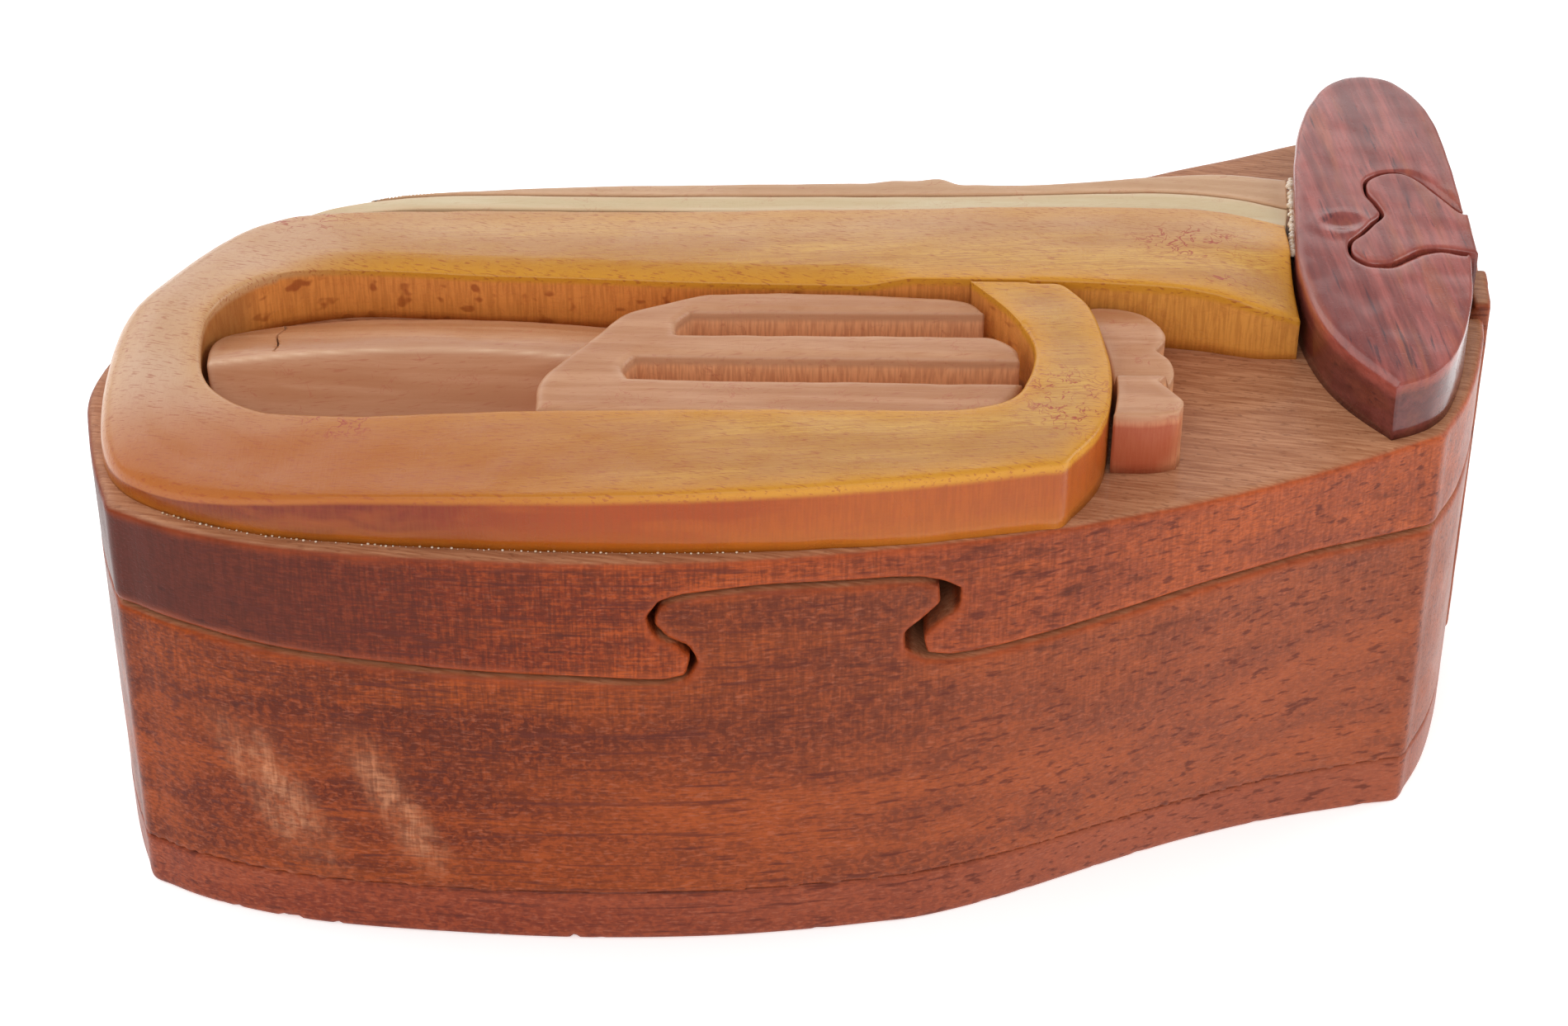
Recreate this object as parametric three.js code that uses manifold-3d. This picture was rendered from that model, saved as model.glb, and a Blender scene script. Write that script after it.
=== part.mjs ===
// Wooden puzzle box carved as a tuba lying on its side. Millimetres, +Z up, +X towards the bell.
//
// A solid block is sawn into a base and a lid along a wavy seam that runs straight from front to
// back, with a fishtail tab of the base hooked into the lid. The base is hollow and closed below
// by a glued board. A tall fishtail key drops through bell, lid and base and locks the lid. The
// instrument itself is a relief of separate pieces glued on the lid.

import * as THREE from 'three';
import { mergeVertices } from 'three/addons/utils/BufferGeometryUtils.js';
import Module from 'manifold-3d';

const wasm = await Module();
wasm.setup();

// Driving dimensions.
const BLOCK_HEIGHT = 54.2;
const FLOOR_THICKNESS = 6.8;
const FELT_THICKNESS = 1;
const SEAM_GAP = 0.4;
const GLUE_GAP = 0.3;
const KEY_CLEARANCE = 0.35;
const KEY_PROUD = 1.3;
const STRIP_START = 79.4;
const FACET = 2.6;
const BEYOND = 120;

// How far the front of the block leans in towards its bottom, and where along the block it does.
const UNDERCUT = 5.3;
const UNDERCUT_START = 12.2;
const UNDERCUT_END = 72;
const UNDERCUT_SKEW = 1.3;

// Play of the fishtail tab in its socket: [x, z] on its left flank, its top and its right flank.
const LEFT_PLAY = [-0.6, -0.1];
const TOP_PLAY = [-0.2, SEAM_GAP];
const RIGHT_PLAY = [2.1, -0.5];
const SEAM_PLAY = [0, SEAM_GAP];

// Heights of the relief above the lid. A pair of heights belongs to the pair of places after it.
const VALVE_HEIGHT = 6.9;
const VALVE_END_HEIGHTS = [8, 6.1];
const VALVE_END_DEPTH = [-30, -5];
const KEY_CAP_HEIGHTS = [8.9, 9.6];
const KEY_CAP_DEPTH = [0, 20];

// The near arm of the loop is lowest at the left bow, the far branch dips where it meets the bell.
const ARM_HEIGHT = 8.8;
const BOW_DROP = 3.6;
const BOW_REACH = [-69, 22];
const BOW_BEND = 1.6;
const HORN_HEIGHTS = [7.6, 8.7];
const HORN_REACH = [-40, 42];
const ARM_TO_HORN = [-30, -5];
const THROAT_REACH = [42, 58];
const THROAT_DIPS = [3.4, 1];
const THROAT_DEPTH = [-7, 10];

// Stripe and lead pipe: one height, less at the throat and at the thin tail.
const STRIPE_HEIGHT = 7.7;
const STRIPE_DIP = 1;
const TAIL_DROP = 1.5;
const TAIL_REACH = [-62, -48];

// Bell: its front part is level with the horn, and behind the key it swells.
const BELL_FRONT_HEIGHTS = [8.2, 7];
const BELL_FRONT_DEPTH = [-24, -2];
const BELL_SWELL = 3;
const BELL_SWELL_DEPTH = [-2, 16];
const BELL_TIP_DROP = 0.6;
const BELL_TIP_DEPTH = [30, 44];

// Outline of the block: front edge, bell end, then back edge and rounded left end.
const BLOCK_FRONT = [[-77.1, -37.4], [-70.7, -40.9], [-58.5, -44.7], [-41.4, -46.9], [-22.7, -47.9],
  [-7.9, -47.3], [10.4, -44.8], [27.5, -41.3], [47.2, -34.9], [61, -28.8], [72.5, -22.6]];
const BLOCK_BELL_END = [[72.5, -22.6], [76.3, -15.5], [79.2, -6.8], [81.2, 2.8], [82.1, 13], [82.1, 24],
  [80.8, 34.5], [77.8, 42], [73, 45.8], [66, 44.9], [55.1, 40.4], [44.1, 35.9], [34.4, 30.8],
  [24.6, 26.4], [10.8, 24], [-7.9, 23], [-27.6, 22.2], [-47.3, 20.5], [-60.1, 17.3], [-68.9, 11.5],
  [-75.8, 3.8], [-80.3, -4.6], [-82.5, -14.4], [-81.5, -22.3], [-79.3, -31.1], [-77.1, -37.4]];

// Seam between base and lid, seen from the front as [x, z].
const SEAM_LEFT = [[-BEYOND, 41.4], [-71.9, 40.8], [-57.1, 39.5], [-38.4, 38.4], [-25.6, 38],
  [-14.6, 37.7]];
const TAB_LEFT = [[-12.4, 38.9], [-12, 40.9], [-12.6, 42.2], [-15.5, 44.1], [-16.7, 45.4],
  [-16.8, 46.8]];
const TAB_TOP = [[-15.4, 48.6], [-10.4, 49.6], [-4.4, 50], [4.6, 49.7], [13.6, 49]];
const TAB_RIGHT = [[15.2, 47.7], [15.1, 46.3], [13.9, 44.6], [11.5, 43.1], [10.8, 41], [11.5, 39.4]];
const SEAM_RIGHT = [[16.3, 38], [23.9, 38.5], [36.8, 40.1], [44.5, 41.1], [57, 41.8], [68.1, 41],
  [BEYOND, 40.5]];

// Hollow of the base.
const CAVITY = [[-69, -14], [-62, 5], [-45, 11.5], [-15, 13.5], [15, 15], [38, 22], [50, 25], [54, 12],
  [53, -12], [45, -22], [22, -31.5], [-8, -38], [-45, -37.5], [-63, -31]];

// Fishtail key: the outer strip stands just proud of the bell end, the two lobes point inwards.
const KEY_BACK_LOBE = [[78.4, 11.4], [76.8, 14], [75.2, 16.8], [73.4, 19.2], [71.5, 19.8], [69.1, 18.9],
  [67.9, 17.4], [67.8, 15.7], [68.8, 12.6], [69.1, 10.5]];
const KEY_FRONT_LOBE = [[69.1, 10.5], [66.1, 6.3], [64.6, 4.5], [64.4, 2.6], [65.4, 0.9], [67.5, 0],
  [69.8, 1.2], [72.6, 3.2], [74.6, 3.6], [77.4, 3]];
const KEY_STRIP = [[81.8, 2.8], [82.5, 11]];

// Bell: a long oval with a blunt point at the front.
const BELL = [[66.3, -23.9], [69.8, -22.3], [72.2, -20.3], [74.3, -16.5], [76.6, -9.5], [77.9, -3],
  [78.8, 8.5], [78.9, 20], [78.3, 31.5], [76.2, 39.4], [73.4, 43.2], [70.6, 44], [67.9, 43.3],
  [65, 40.4], [61.9, 33.2], [60.1, 24.9], [58.9, 14.6], [58.1, 6], [57.9, -0.5], [58.9, -9.5],
  [61.4, -16.6], [66.3, -23.9]];

// Horn loop: the branch that enters the bell, the left bow, the front arm and its curved end,
// which comes back to the branch and leaves only a saw-thin seam.
const THROAT_FRONT = [[57.5, -7.2], [52, -7], [48, -5.8], [42, -4.7], [30, -3.3], [19.2, -2.9],
  [-7.7, -1.7], [-36.9, 0.5], [-54.4, 1.4], [-63.7, -1.8], [-68.4, -7.5], [-69.1, -14], [-67.5, -21.2],
  [-62.4, -26.1], [-53.4, -28.1], [-30.5, -28.5], [-12.2, -29.3], [10.7, -30.2], [18, -30.2],
  [22.6, -28.2], [25.4, -22], [25.7, -16.5], [23.6, -10.5], [19.2, -3.3]];
const CURVED_END_BACK = [[19.2, -3.3], [26, -3.5], [29.8, -4]];
const CURVED_END = [[29.8, -4], [32.3, -7.5], [33.6, -13.5], [34.3, -22], [33.8, -28.2], [32.2, -34.3],
  [27.9, -41]];
const LOOP_FRONT = [[27.9, -41], [10.5, -44.1], [-12, -45.8], [-37.9, -45], [-57.9, -42.9],
  [-69.1, -39.2], [-75.6, -34.8], [-78.6, -29], [-79.8, -18.4], [-78.6, -5.8], [-72.4, 5.4],
  [-67.2, 11], [-61.5, 13.1]];
const HORN_EDGE = [[-61.5, 13.1], [-53.2, 13.5], [-42.4, 13.7], [-7.9, 13.2], [21.6, 13.5], [41.3, 13],
  [51.5, 12.3], [57.5, 10.4]];

// Inlay stripe between the horn and the lead pipe, and the lead pipe's back with its small ferrule.
const PIPE_EDGE = [[-52.5, 16.4], [-41.4, 17.1], [-17.8, 17], [21.6, 17.3], [42.2, 18.1], [52.1, 17.4],
  [58.6, 15.8]];
const STRIPE_SHIFT = [0.2, GLUE_GAP];
const STRIPE_TAIL = [[-52.5, 16.4], [-57, 15.6], [-61.3, 13.7]];
const PIPE_BACK = [[59.2, 23.2], [52.7, 23.6], [42.5, 22.3], [28.3, 20.4], [18.9, 20.4]];
const PIPE_FERRULE = [[18.9, 20.4], [17.8, 21.6], [13.5, 21.3], [9, 21.2], [8, 20.7]];
const PIPE_BACK_END = [[8, 20.7], [-28, 19.6], [-42, 18.4], [-52, 16.9]];

// Round pipe inside the loop: outline, and its ridged section as [y, height].
const INNER_PIPE = [[-65.4, -5.1], [-61.3, -2.8], [-56.4, -1.6], [-46.8, -1.3], [-36.9, -1.7],
  [-27.2, -2.5], [-14, -3.4]];
const PIPE_NEAR_EDGE = [[-30.6, -27.8], [-44, -27.8], [-53.4, -27.6], [-61.9, -25.6], [-66.9, -20.9],
  [-68.5, -14], [-67.8, -7.7], [-65.4, -5.1]];
const PIPE_END_SHIFT = [-0.4, GLUE_GAP];
const PIPE_SECTION = [[BEYOND, 0], [BEYOND, 1.6], [-1.3, 1.7], [-13.2, 5.2], [-20.6, 0.9],
  [-BEYOND, 0.9], [-BEYOND, 0]];

// Valve block: a comb of three fingers. The first run is its left side, shared with the inner pipe.
const VALVE_LEFT = [[-30.2, -28.1], [-30, -22.1], [-28.2, -18.6], [-23.4, -11.4], [-21.3, -8.2],
  [-16.4, -5.4], [-11.6, -3.6]];
const FINGER_BACK = [[-11.6, -3.6], [-2.9, -3.1], [11.5, -3.9], [18.2, -4.9], [20.3, -6.3], [20.8, -7.6]];
const SLOT_BACK = [[-13.2, -7.4], [-15.5, -11.3], [-14.9, -12.2]];
const FINGER_MIDDLE = [[20.8, -12.6], [23.2, -13.9], [24.4, -16], [24.4, -17.6]];
const SLOT_FRONT = [[-19.3, -16.7], [-21, -20.6], [-20, -21.4]];
const FINGER_FRONT = [[24.4, -22.4], [23.8, -24.4], [22.2, -27], [20, -28.9], [17.2, -29.7],
  [1.6, -29.5], [-12.2, -28.8], [-30.2, -28.1]];

// Valve ends: one piece with three lobes that shows beyond the curved end of the loop.
const CAP_BACK = [[32, -5.2], [34, -4.6], [37, -5], [39.3, -6.6], [41, -9.5], [41.3, -12.6],
  [40.2, -14.7]];
const CAP_MIDDLE = [[40.2, -14.7], [41.5, -16.6], [41.7, -19.8], [39.7, -23.1]];
const CAP_FRONT = [[39.7, -23.1], [41.3, -25.8], [42.2, -28.4], [41.5, -29.6], [38, -30.6],
  [33.9, -30.4]];
const CAP_SIDE = [[33.9, -30.4], [34.3, -28.2], [34.8, -22], [34.1, -13.5], [32.8, -7.5], [32, -5.2]];

const FINISHES = {
  mahogany: { color: 0x96462d, roughness: 0.35 },
  mahogany_key: { color: 0x8f4a31, roughness: 0.35 },
  rosewood: { color: 0x82403c, roughness: 0.3 },
  yellow_wood: { color: 0xc8964f, roughness: 0.3 },
  cream_wood: { color: 0xd7c396, roughness: 0.35 },
  pink_wood: { color: 0xd29b7d, roughness: 0.35 },
  pale_pipe_wood: { color: 0xd2a582, roughness: 0.35 },
  felt: { color: 0x4a1f22, roughness: 1 },
};

// Points along a smooth curve through the given ones, about one facet apart, without the last.
function smooth(points) {
  const curve = new THREE.CatmullRomCurve3(points.map(([x, y]) => new THREE.Vector3(x, y, 0)));
  const steps = Math.max(2, Math.round(curve.getLength() / FACET));
  return curve.getSpacedPoints(steps).slice(0, -1).map((p) => [p.x, p.y]);
}

// The same for a closed curve with no corner.
function smoothRing(points) {
  const curve = new THREE.CatmullRomCurve3(points.map(([x, y]) => new THREE.Vector3(x, y, 0)), true);
  const steps = Math.round(curve.getLength() / FACET);
  return curve.getSpacedPoints(steps).slice(0, -1).map((p) => [p.x, p.y]);
}

function shifted(points, [dx, dy]) {
  return points.map(([x, y]) => [x + dx, y + dy]);
}

// A closed outline pushed outwards by a distance, corner by corner. Negative pushes inwards.
function grown(outline, distance) {
  const turn = THREE.ShapeUtils.isClockWise(outline.map(([x, y]) => new THREE.Vector2(x, y))) ? -1 : 1;
  return outline.map((point, i) => {
    const [bx, by] = outline[(i + outline.length - 1) % outline.length];
    const [ax, ay] = outline[(i + 1) % outline.length];
    const length = Math.hypot(ax - bx, ay - by);
    const outwards = [((ay - by) / length) * turn, ((bx - ax) / length) * turn];
    return [point[0] + outwards[0] * distance, point[1] + outwards[1] * distance];
  });
}

// A closed outline raised from one height to another. The top may be a function of x and y.
function prism(outline, bottom, top) {
  const shape = new THREE.Shape(outline.map(([x, y]) => new THREE.Vector2(x, y)));
  const geometry = new THREE.ExtrudeGeometry(shape, { depth: 1, bevelEnabled: false, steps: 1 });
  const heightAt = typeof top === 'function' ? top : () => top;
  const position = geometry.attributes.position;
  for (let i = 0; i < position.count; i += 1) {
    const raised = position.getZ(i) > 0;
    position.setZ(i, raised ? heightAt(position.getX(i), position.getY(i)) : bottom);
  }
  return geometry;
}

// A profile in the X-Z plane carried from behind the block to in front of it.
function prismAlongY(profile) {
  const geometry = prism(profile, -BEYOND, BEYOND);
  return geometry.rotateX(Math.PI / 2);
}

// A profile in the Y-Z plane carried along the block's length.
function prismAlongX(profile) {
  const geometry = prism(profile, -BEYOND, BEYOND);
  return geometry.applyMatrix4(new THREE.Matrix4().makeBasis(
    new THREE.Vector3(0, 1, 0),
    new THREE.Vector3(0, 0, 1),
    new THREE.Vector3(1, 0, 0),
  ));
}

function toSolid(geometry) {
  const bare = geometry.clone();
  bare.deleteAttribute('normal');
  bare.deleteAttribute('uv');
  const merged = mergeVertices(bare);
  return new wasm.Manifold(new wasm.Mesh({
    numProp: 3,
    vertProperties: merged.attributes.position.array,
    triVerts: new Uint32Array(merged.index.array),
  }));
}

function toGeometry(solid) {
  const { vertProperties, triVerts } = solid.getMesh();
  const geometry = new THREE.BufferGeometry();
  geometry.setAttribute('position', new THREE.BufferAttribute(vertProperties, 3));
  geometry.setIndex(new THREE.BufferAttribute(triVerts, 1));
  return geometry;
}

function piece(name, finish, geometry) {
  const material = new THREE.MeshStandardMaterial({ metalness: 0, ...FINISHES[finish] });
  const mesh = new THREE.Mesh(geometry, material);
  mesh.name = name;
  return mesh;
}

// A straight blend from one value to another, held outside its range.
function ramp(value, [from, to], [low, high]) {
  return low + (high - low) * THREE.MathUtils.clamp((value - from) / (to - from), 0, 1);
}

// Block: vertical walls, except that the front leans in under the bell.
function blockGeometry() {
  const outline = [...smooth(BLOCK_FRONT), ...smooth(BLOCK_BELL_END)];
  const geometry = prism(outline, 0, BLOCK_HEIGHT);
  const position = geometry.attributes.position;
  for (let i = 0; i < position.count; i += 1) {
    const along = (position.getX(i) - UNDERCUT_START) / (UNDERCUT_END - UNDERCUT_START);
    const leans = position.getZ(i) === 0 && position.getY(i) < 0 && along > 0 && along < 1;
    if (leans) {
      position.setY(i, position.getY(i) + UNDERCUT * Math.sin(Math.PI * along ** UNDERCUT_SKEW));
    }
  }
  return geometry;
}

function slab(bottom, top) {
  const corners = [[-BEYOND, -BEYOND], [BEYOND, -BEYOND], [BEYOND, BEYOND], [-BEYOND, BEYOND]];
  return toSolid(prism(corners, bottom, top));
}

// The region under the seam for the base, or over it for the lid, as a solid.
function underSeam() {
  const line = smooth([...SEAM_LEFT, ...TAB_LEFT, ...TAB_TOP, ...TAB_RIGHT, ...SEAM_RIGHT]);
  return toSolid(prismAlongY([[-BEYOND, 0], [BEYOND, 0], SEAM_RIGHT.at(-1), ...line.reverse()]));
}

function overSeam() {
  const line = smooth([
    ...shifted(SEAM_LEFT, SEAM_PLAY),
    ...shifted(TAB_LEFT, LEFT_PLAY),
    ...shifted(TAB_TOP, TOP_PLAY),
    ...shifted(TAB_RIGHT, RIGHT_PLAY),
    ...shifted(SEAM_RIGHT, SEAM_PLAY),
  ]);
  const end = shifted(SEAM_RIGHT, SEAM_PLAY).at(-1);
  return toSolid(prismAlongY([...line, end, [BEYOND, BEYOND], [-BEYOND, BEYOND]]));
}

const keyLobes = [...smooth(KEY_BACK_LOBE), ...smooth(KEY_FRONT_LOBE)];
const keyOutline = [...keyLobes, KEY_FRONT_LOBE.at(-1), ...KEY_STRIP];
const keyHead = [...keyLobes, [STRIP_START, KEY_STRIP[0][1]], [STRIP_START, KEY_STRIP[1][1]]];
const keyExit = KEY_STRIP.map(([, y]) => [BEYOND, y]);
const slotOutline = [...keyLobes, KEY_FRONT_LOBE.at(-1), KEY_STRIP[0], ...keyExit, KEY_STRIP[1]];
const keySlot = toSolid(prism(grown(slotOutline, KEY_CLEARANCE), FLOOR_THICKNESS, BEYOND));

const block = toSolid(blockGeometry());
const cavity = toSolid(prism(smoothRing(CAVITY), FLOOR_THICKNESS, BEYOND));

function baseFrame() {
  return block
    .intersect(slab(FLOOR_THICKNESS, BEYOND))
    .intersect(underSeam())
    .subtract(cavity)
    .subtract(keySlot);
}

function lidBoard() {
  return block.intersect(overSeam()).subtract(keySlot);
}

// The key's body stops level with the lid under its cap; its outer strip rises a little higher.
function keyBody() {
  const bottom = FLOOR_THICKNESS + GLUE_GAP;
  const whole = toSolid(prism(keyOutline, bottom, BLOCK_HEIGHT + KEY_PROUD));
  const underCap = toSolid(prism(grown(keyHead, KEY_CLEARANCE), BLOCK_HEIGHT, BEYOND));
  return whole.subtract(underCap);
}

function keyCap() {
  return prism(keyHead, BLOCK_HEIGHT, (x, y) => BLOCK_HEIGHT + ramp(y, KEY_CAP_DEPTH, KEY_CAP_HEIGHTS));
}

// Heights of the relief's tops, by place.
function loopHeight(x, y) {
  const arm = ARM_HEIGHT - BOW_DROP * ramp(x, BOW_REACH, [1, 0]) ** BOW_BEND;
  const horn = ramp(x, HORN_REACH, HORN_HEIGHTS);
  const dip = ramp(y, THROAT_DEPTH, THROAT_DIPS) * ramp(x, THROAT_REACH, [0, 1]) ** 2;
  return BLOCK_HEIGHT + ramp(y, ARM_TO_HORN, [arm, horn]) - dip;
}

function stripeHeight(x) {
  const dip = STRIPE_DIP * ramp(x, THROAT_REACH, [0, 1]) ** 2;
  return BLOCK_HEIGHT + STRIPE_HEIGHT - dip - ramp(x, TAIL_REACH, [TAIL_DROP, 0]);
}

function bellHeight(x, y) {
  const front = ramp(y, BELL_FRONT_DEPTH, BELL_FRONT_HEIGHTS);
  const swell = BELL_SWELL * ramp(y, BELL_SWELL_DEPTH, [0, 1]);
  return BLOCK_HEIGHT + front + swell - ramp(y, BELL_TIP_DEPTH, [0, BELL_TIP_DROP]);
}

function valveEndHeight(x, y) {
  return BLOCK_HEIGHT + ramp(y, VALVE_END_DEPTH, VALVE_END_HEIGHTS);
}

function bell() {
  return toSolid(prism(smooth(BELL), BLOCK_HEIGHT, bellHeight)).subtract(keySlot);
}

function hornLoop() {
  const outline = [
    ...smooth(THROAT_FRONT),
    ...smooth(CURVED_END_BACK),
    ...smooth(CURVED_END),
    ...smooth(LOOP_FRONT),
    ...smooth(HORN_EDGE),
    HORN_EDGE.at(-1),
  ];
  return prism(outline, BLOCK_HEIGHT, loopHeight);
}

function inlayStripe() {
  const front = shifted(HORN_EDGE, STRIPE_SHIFT);
  const back = [...PIPE_EDGE].reverse();
  const outline = [...smooth(front), front.at(-1), ...smooth(back), ...smooth(STRIPE_TAIL)];
  return prism(outline, BLOCK_HEIGHT, stripeHeight);
}

function leadPipe() {
  const front = shifted(PIPE_EDGE, [0, GLUE_GAP]);
  const outline = [
    ...smooth(front),
    front.at(-1),
    ...smooth(PIPE_BACK),
    ...smooth(PIPE_FERRULE),
    ...smooth(PIPE_BACK_END),
  ];
  return prism(outline, BLOCK_HEIGHT, stripeHeight);
}

function innerPipe() {
  const rightEnd = shifted(VALVE_LEFT, PIPE_END_SHIFT).reverse();
  const outline = [...smooth(INNER_PIPE), ...smooth(rightEnd), ...smooth(PIPE_NEAR_EDGE)];
  const section = PIPE_SECTION.map(([y, height]) => [y, BLOCK_HEIGHT + height]);
  return toSolid(prism(outline, BLOCK_HEIGHT, BEYOND)).intersect(toSolid(prismAlongX(section)));
}

function valveBlock() {
  const outline = [
    ...smooth(VALVE_LEFT),
    ...smooth(FINGER_BACK),
    FINGER_BACK.at(-1),
    ...smooth(SLOT_BACK),
    SLOT_BACK.at(-1),
    ...smooth(FINGER_MIDDLE),
    FINGER_MIDDLE.at(-1),
    ...smooth(SLOT_FRONT),
    SLOT_FRONT.at(-1),
    ...smooth(FINGER_FRONT),
  ];
  return prism(outline, BLOCK_HEIGHT, BLOCK_HEIGHT + VALVE_HEIGHT);
}

function valveEnds() {
  const outline = [...smooth(CAP_BACK), ...smooth(CAP_MIDDLE), ...smooth(CAP_FRONT), ...smooth(CAP_SIDE)];
  return prism(outline, BLOCK_HEIGHT, valveEndHeight);
}

const puzzleBox = new THREE.Group();
puzzleBox.add(
  piece('base_floor', 'mahogany', toGeometry(block.intersect(slab(-BEYOND, FLOOR_THICKNESS)))),
  piece('base_frame', 'mahogany', toGeometry(baseFrame())),
  piece('felt_pad', 'felt', prism(
    grown(smoothRing(CAVITY), -GLUE_GAP),
    FLOOR_THICKNESS,
    FLOOR_THICKNESS + FELT_THICKNESS,
  )),
  piece('lid_board', 'mahogany', toGeometry(lidBoard())),
  piece('key_body', 'mahogany_key', toGeometry(keyBody())),
  piece('key_cap', 'rosewood', keyCap()),
  piece('bell', 'rosewood', toGeometry(bell())),
  piece('horn_loop', 'yellow_wood', hornLoop()),
  piece('inlay_stripe', 'cream_wood', inlayStripe()),
  piece('lead_pipe', 'pale_pipe_wood', leadPipe()),
  piece('inner_pipe', 'pink_wood', toGeometry(innerPipe())),
  piece('valve_block', 'pink_wood', valveBlock()),
  piece('valve_ends', 'pink_wood', valveEnds()),
);

// The origin is on the table, under the middle of the object.
const box = new THREE.Box3().setFromObject(puzzleBox);
const middle = box.getCenter(new THREE.Vector3());
puzzleBox.position.set(-middle.x, -middle.y, 0);

export default puzzleBox;
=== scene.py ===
# %% [markdown]
# # A carved puzzle box in the shape of a tuba
#
# The box is a block of mahogany sawn into a base and a lid. A tuba is glued on the lid as a relief
# of separate pieces in several woods, and a fishtail key drops through all of it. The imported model
# gives every piece its place and size. This lesson makes the fine surfaces and the finishes.

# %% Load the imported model
import math

import bmesh
import bpy
import numpy as np
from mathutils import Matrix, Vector, geometry, kdtree, noise


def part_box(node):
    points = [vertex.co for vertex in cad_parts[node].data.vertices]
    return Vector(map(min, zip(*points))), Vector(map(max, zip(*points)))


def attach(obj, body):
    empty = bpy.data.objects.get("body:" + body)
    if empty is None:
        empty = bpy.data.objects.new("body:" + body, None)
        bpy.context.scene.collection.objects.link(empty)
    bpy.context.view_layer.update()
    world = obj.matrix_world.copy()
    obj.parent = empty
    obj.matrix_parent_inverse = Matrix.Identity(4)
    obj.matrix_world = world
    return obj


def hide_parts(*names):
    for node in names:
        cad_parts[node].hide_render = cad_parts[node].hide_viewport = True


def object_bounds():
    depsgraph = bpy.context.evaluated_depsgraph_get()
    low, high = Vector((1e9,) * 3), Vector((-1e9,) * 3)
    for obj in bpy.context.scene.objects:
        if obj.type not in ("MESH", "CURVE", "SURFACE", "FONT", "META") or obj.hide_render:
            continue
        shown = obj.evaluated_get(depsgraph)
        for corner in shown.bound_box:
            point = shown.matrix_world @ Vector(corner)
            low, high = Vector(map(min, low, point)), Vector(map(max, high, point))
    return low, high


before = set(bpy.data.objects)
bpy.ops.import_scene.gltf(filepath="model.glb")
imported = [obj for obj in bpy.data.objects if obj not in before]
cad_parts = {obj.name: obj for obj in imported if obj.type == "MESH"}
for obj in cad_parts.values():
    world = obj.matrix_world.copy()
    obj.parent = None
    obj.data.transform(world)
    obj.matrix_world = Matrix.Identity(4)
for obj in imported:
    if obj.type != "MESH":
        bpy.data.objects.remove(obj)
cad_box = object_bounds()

MM = 0.001
TOUCH = 0.01 * MM
size = cad_box[1] - cad_box[0]
print("CAD box, mm:", [round(side / MM, 1) for side in size])

# %% [markdown]
# ## Camera first
#
# The box is seen from the front and a little above, through a long lens, so its walls hardly lean.
# The camera is placed on a line that leaves the middle of the box at that height, which keeps its
# angle right whatever the distance.

# %% Camera
CAMERA_HEIGHT_ANGLE = math.radians(35.5)
CAMERA_ROLL = math.radians(-0.14)
CAMERA_LENS = 83.3
camera_data = bpy.data.cameras.new("camera")
camera_data.lens = CAMERA_LENS
camera_data.sensor_width = 36
camera = bpy.data.objects.new("camera", camera_data)
camera.location = (-0.0030, -0.3620, 0.2858)
camera.rotation_euler = (math.pi / 2 - CAMERA_HEIGHT_ANGLE, CAMERA_ROLL, 0)
bpy.context.scene.collection.objects.link(camera)
bpy.context.scene.camera = camera
print("camera distance, mm:", round(camera.location.length / MM))

# %% [markdown]
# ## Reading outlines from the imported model
#
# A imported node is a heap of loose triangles. Merging a copy of it gives a shell whose edges can be
# walked, and the edges round its flat foot are the outline that a scroll saw would follow. The
# packed outline has short straight facets, so a smooth curve is drawn through its points, and only
# its sharp corners stay sharp.

# %% Shells and outlines
CORNER_TURN = math.radians(52)
CLOSEST = 0.3 * MM


def shell_of(node):
    """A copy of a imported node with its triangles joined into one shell."""
    shell = bmesh.new()
    shell.from_mesh(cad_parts[node].data)
    bmesh.ops.remove_doubles(shell, verts=shell.verts, dist=0.002 * MM)
    shell.verts.index_update()
    shell.normal_update()
    return shell


def chained(edges):
    """Mesh edges joined end to end, as runs of points. A run with loose ends starts at one."""
    beside = {}
    for edge in edges:
        for vertex in edge.verts:
            beside.setdefault(vertex, []).append(edge.other_vert(vertex))
    waiting = dict.fromkeys(sorted(beside, key=lambda v: (len(beside[v]) != 1, v.index)))
    runs = []
    while waiting:
        vertex = next(iter(waiting))
        run = []
        while vertex is not None:
            run.append(vertex.co[:])
            del waiting[vertex]
            vertex = next((v for v in beside[vertex] if v in waiting), None)
        runs.append(np.array(run))
    return sorted(runs, key=len, reverse=True)


def outlines_at(node, height):
    """The closed outlines of a node's flat face at a height, as x and y, longest first."""
    shell = shell_of(node)

    def is_flat(face):
        return all(abs(vertex.co.z - height) < TOUCH for vertex in face.verts)

    rim = [edge for edge in shell.edges if sum(is_flat(face) for face in edge.link_faces) == 1]
    outlines = [run[:, :2] for run in chained(rim)]
    shell.free()
    return outlines


def foot_outline(node):
    """The outline that a node stands on."""
    return outlines_at(node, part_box(node)[0].z)[0]


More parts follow.
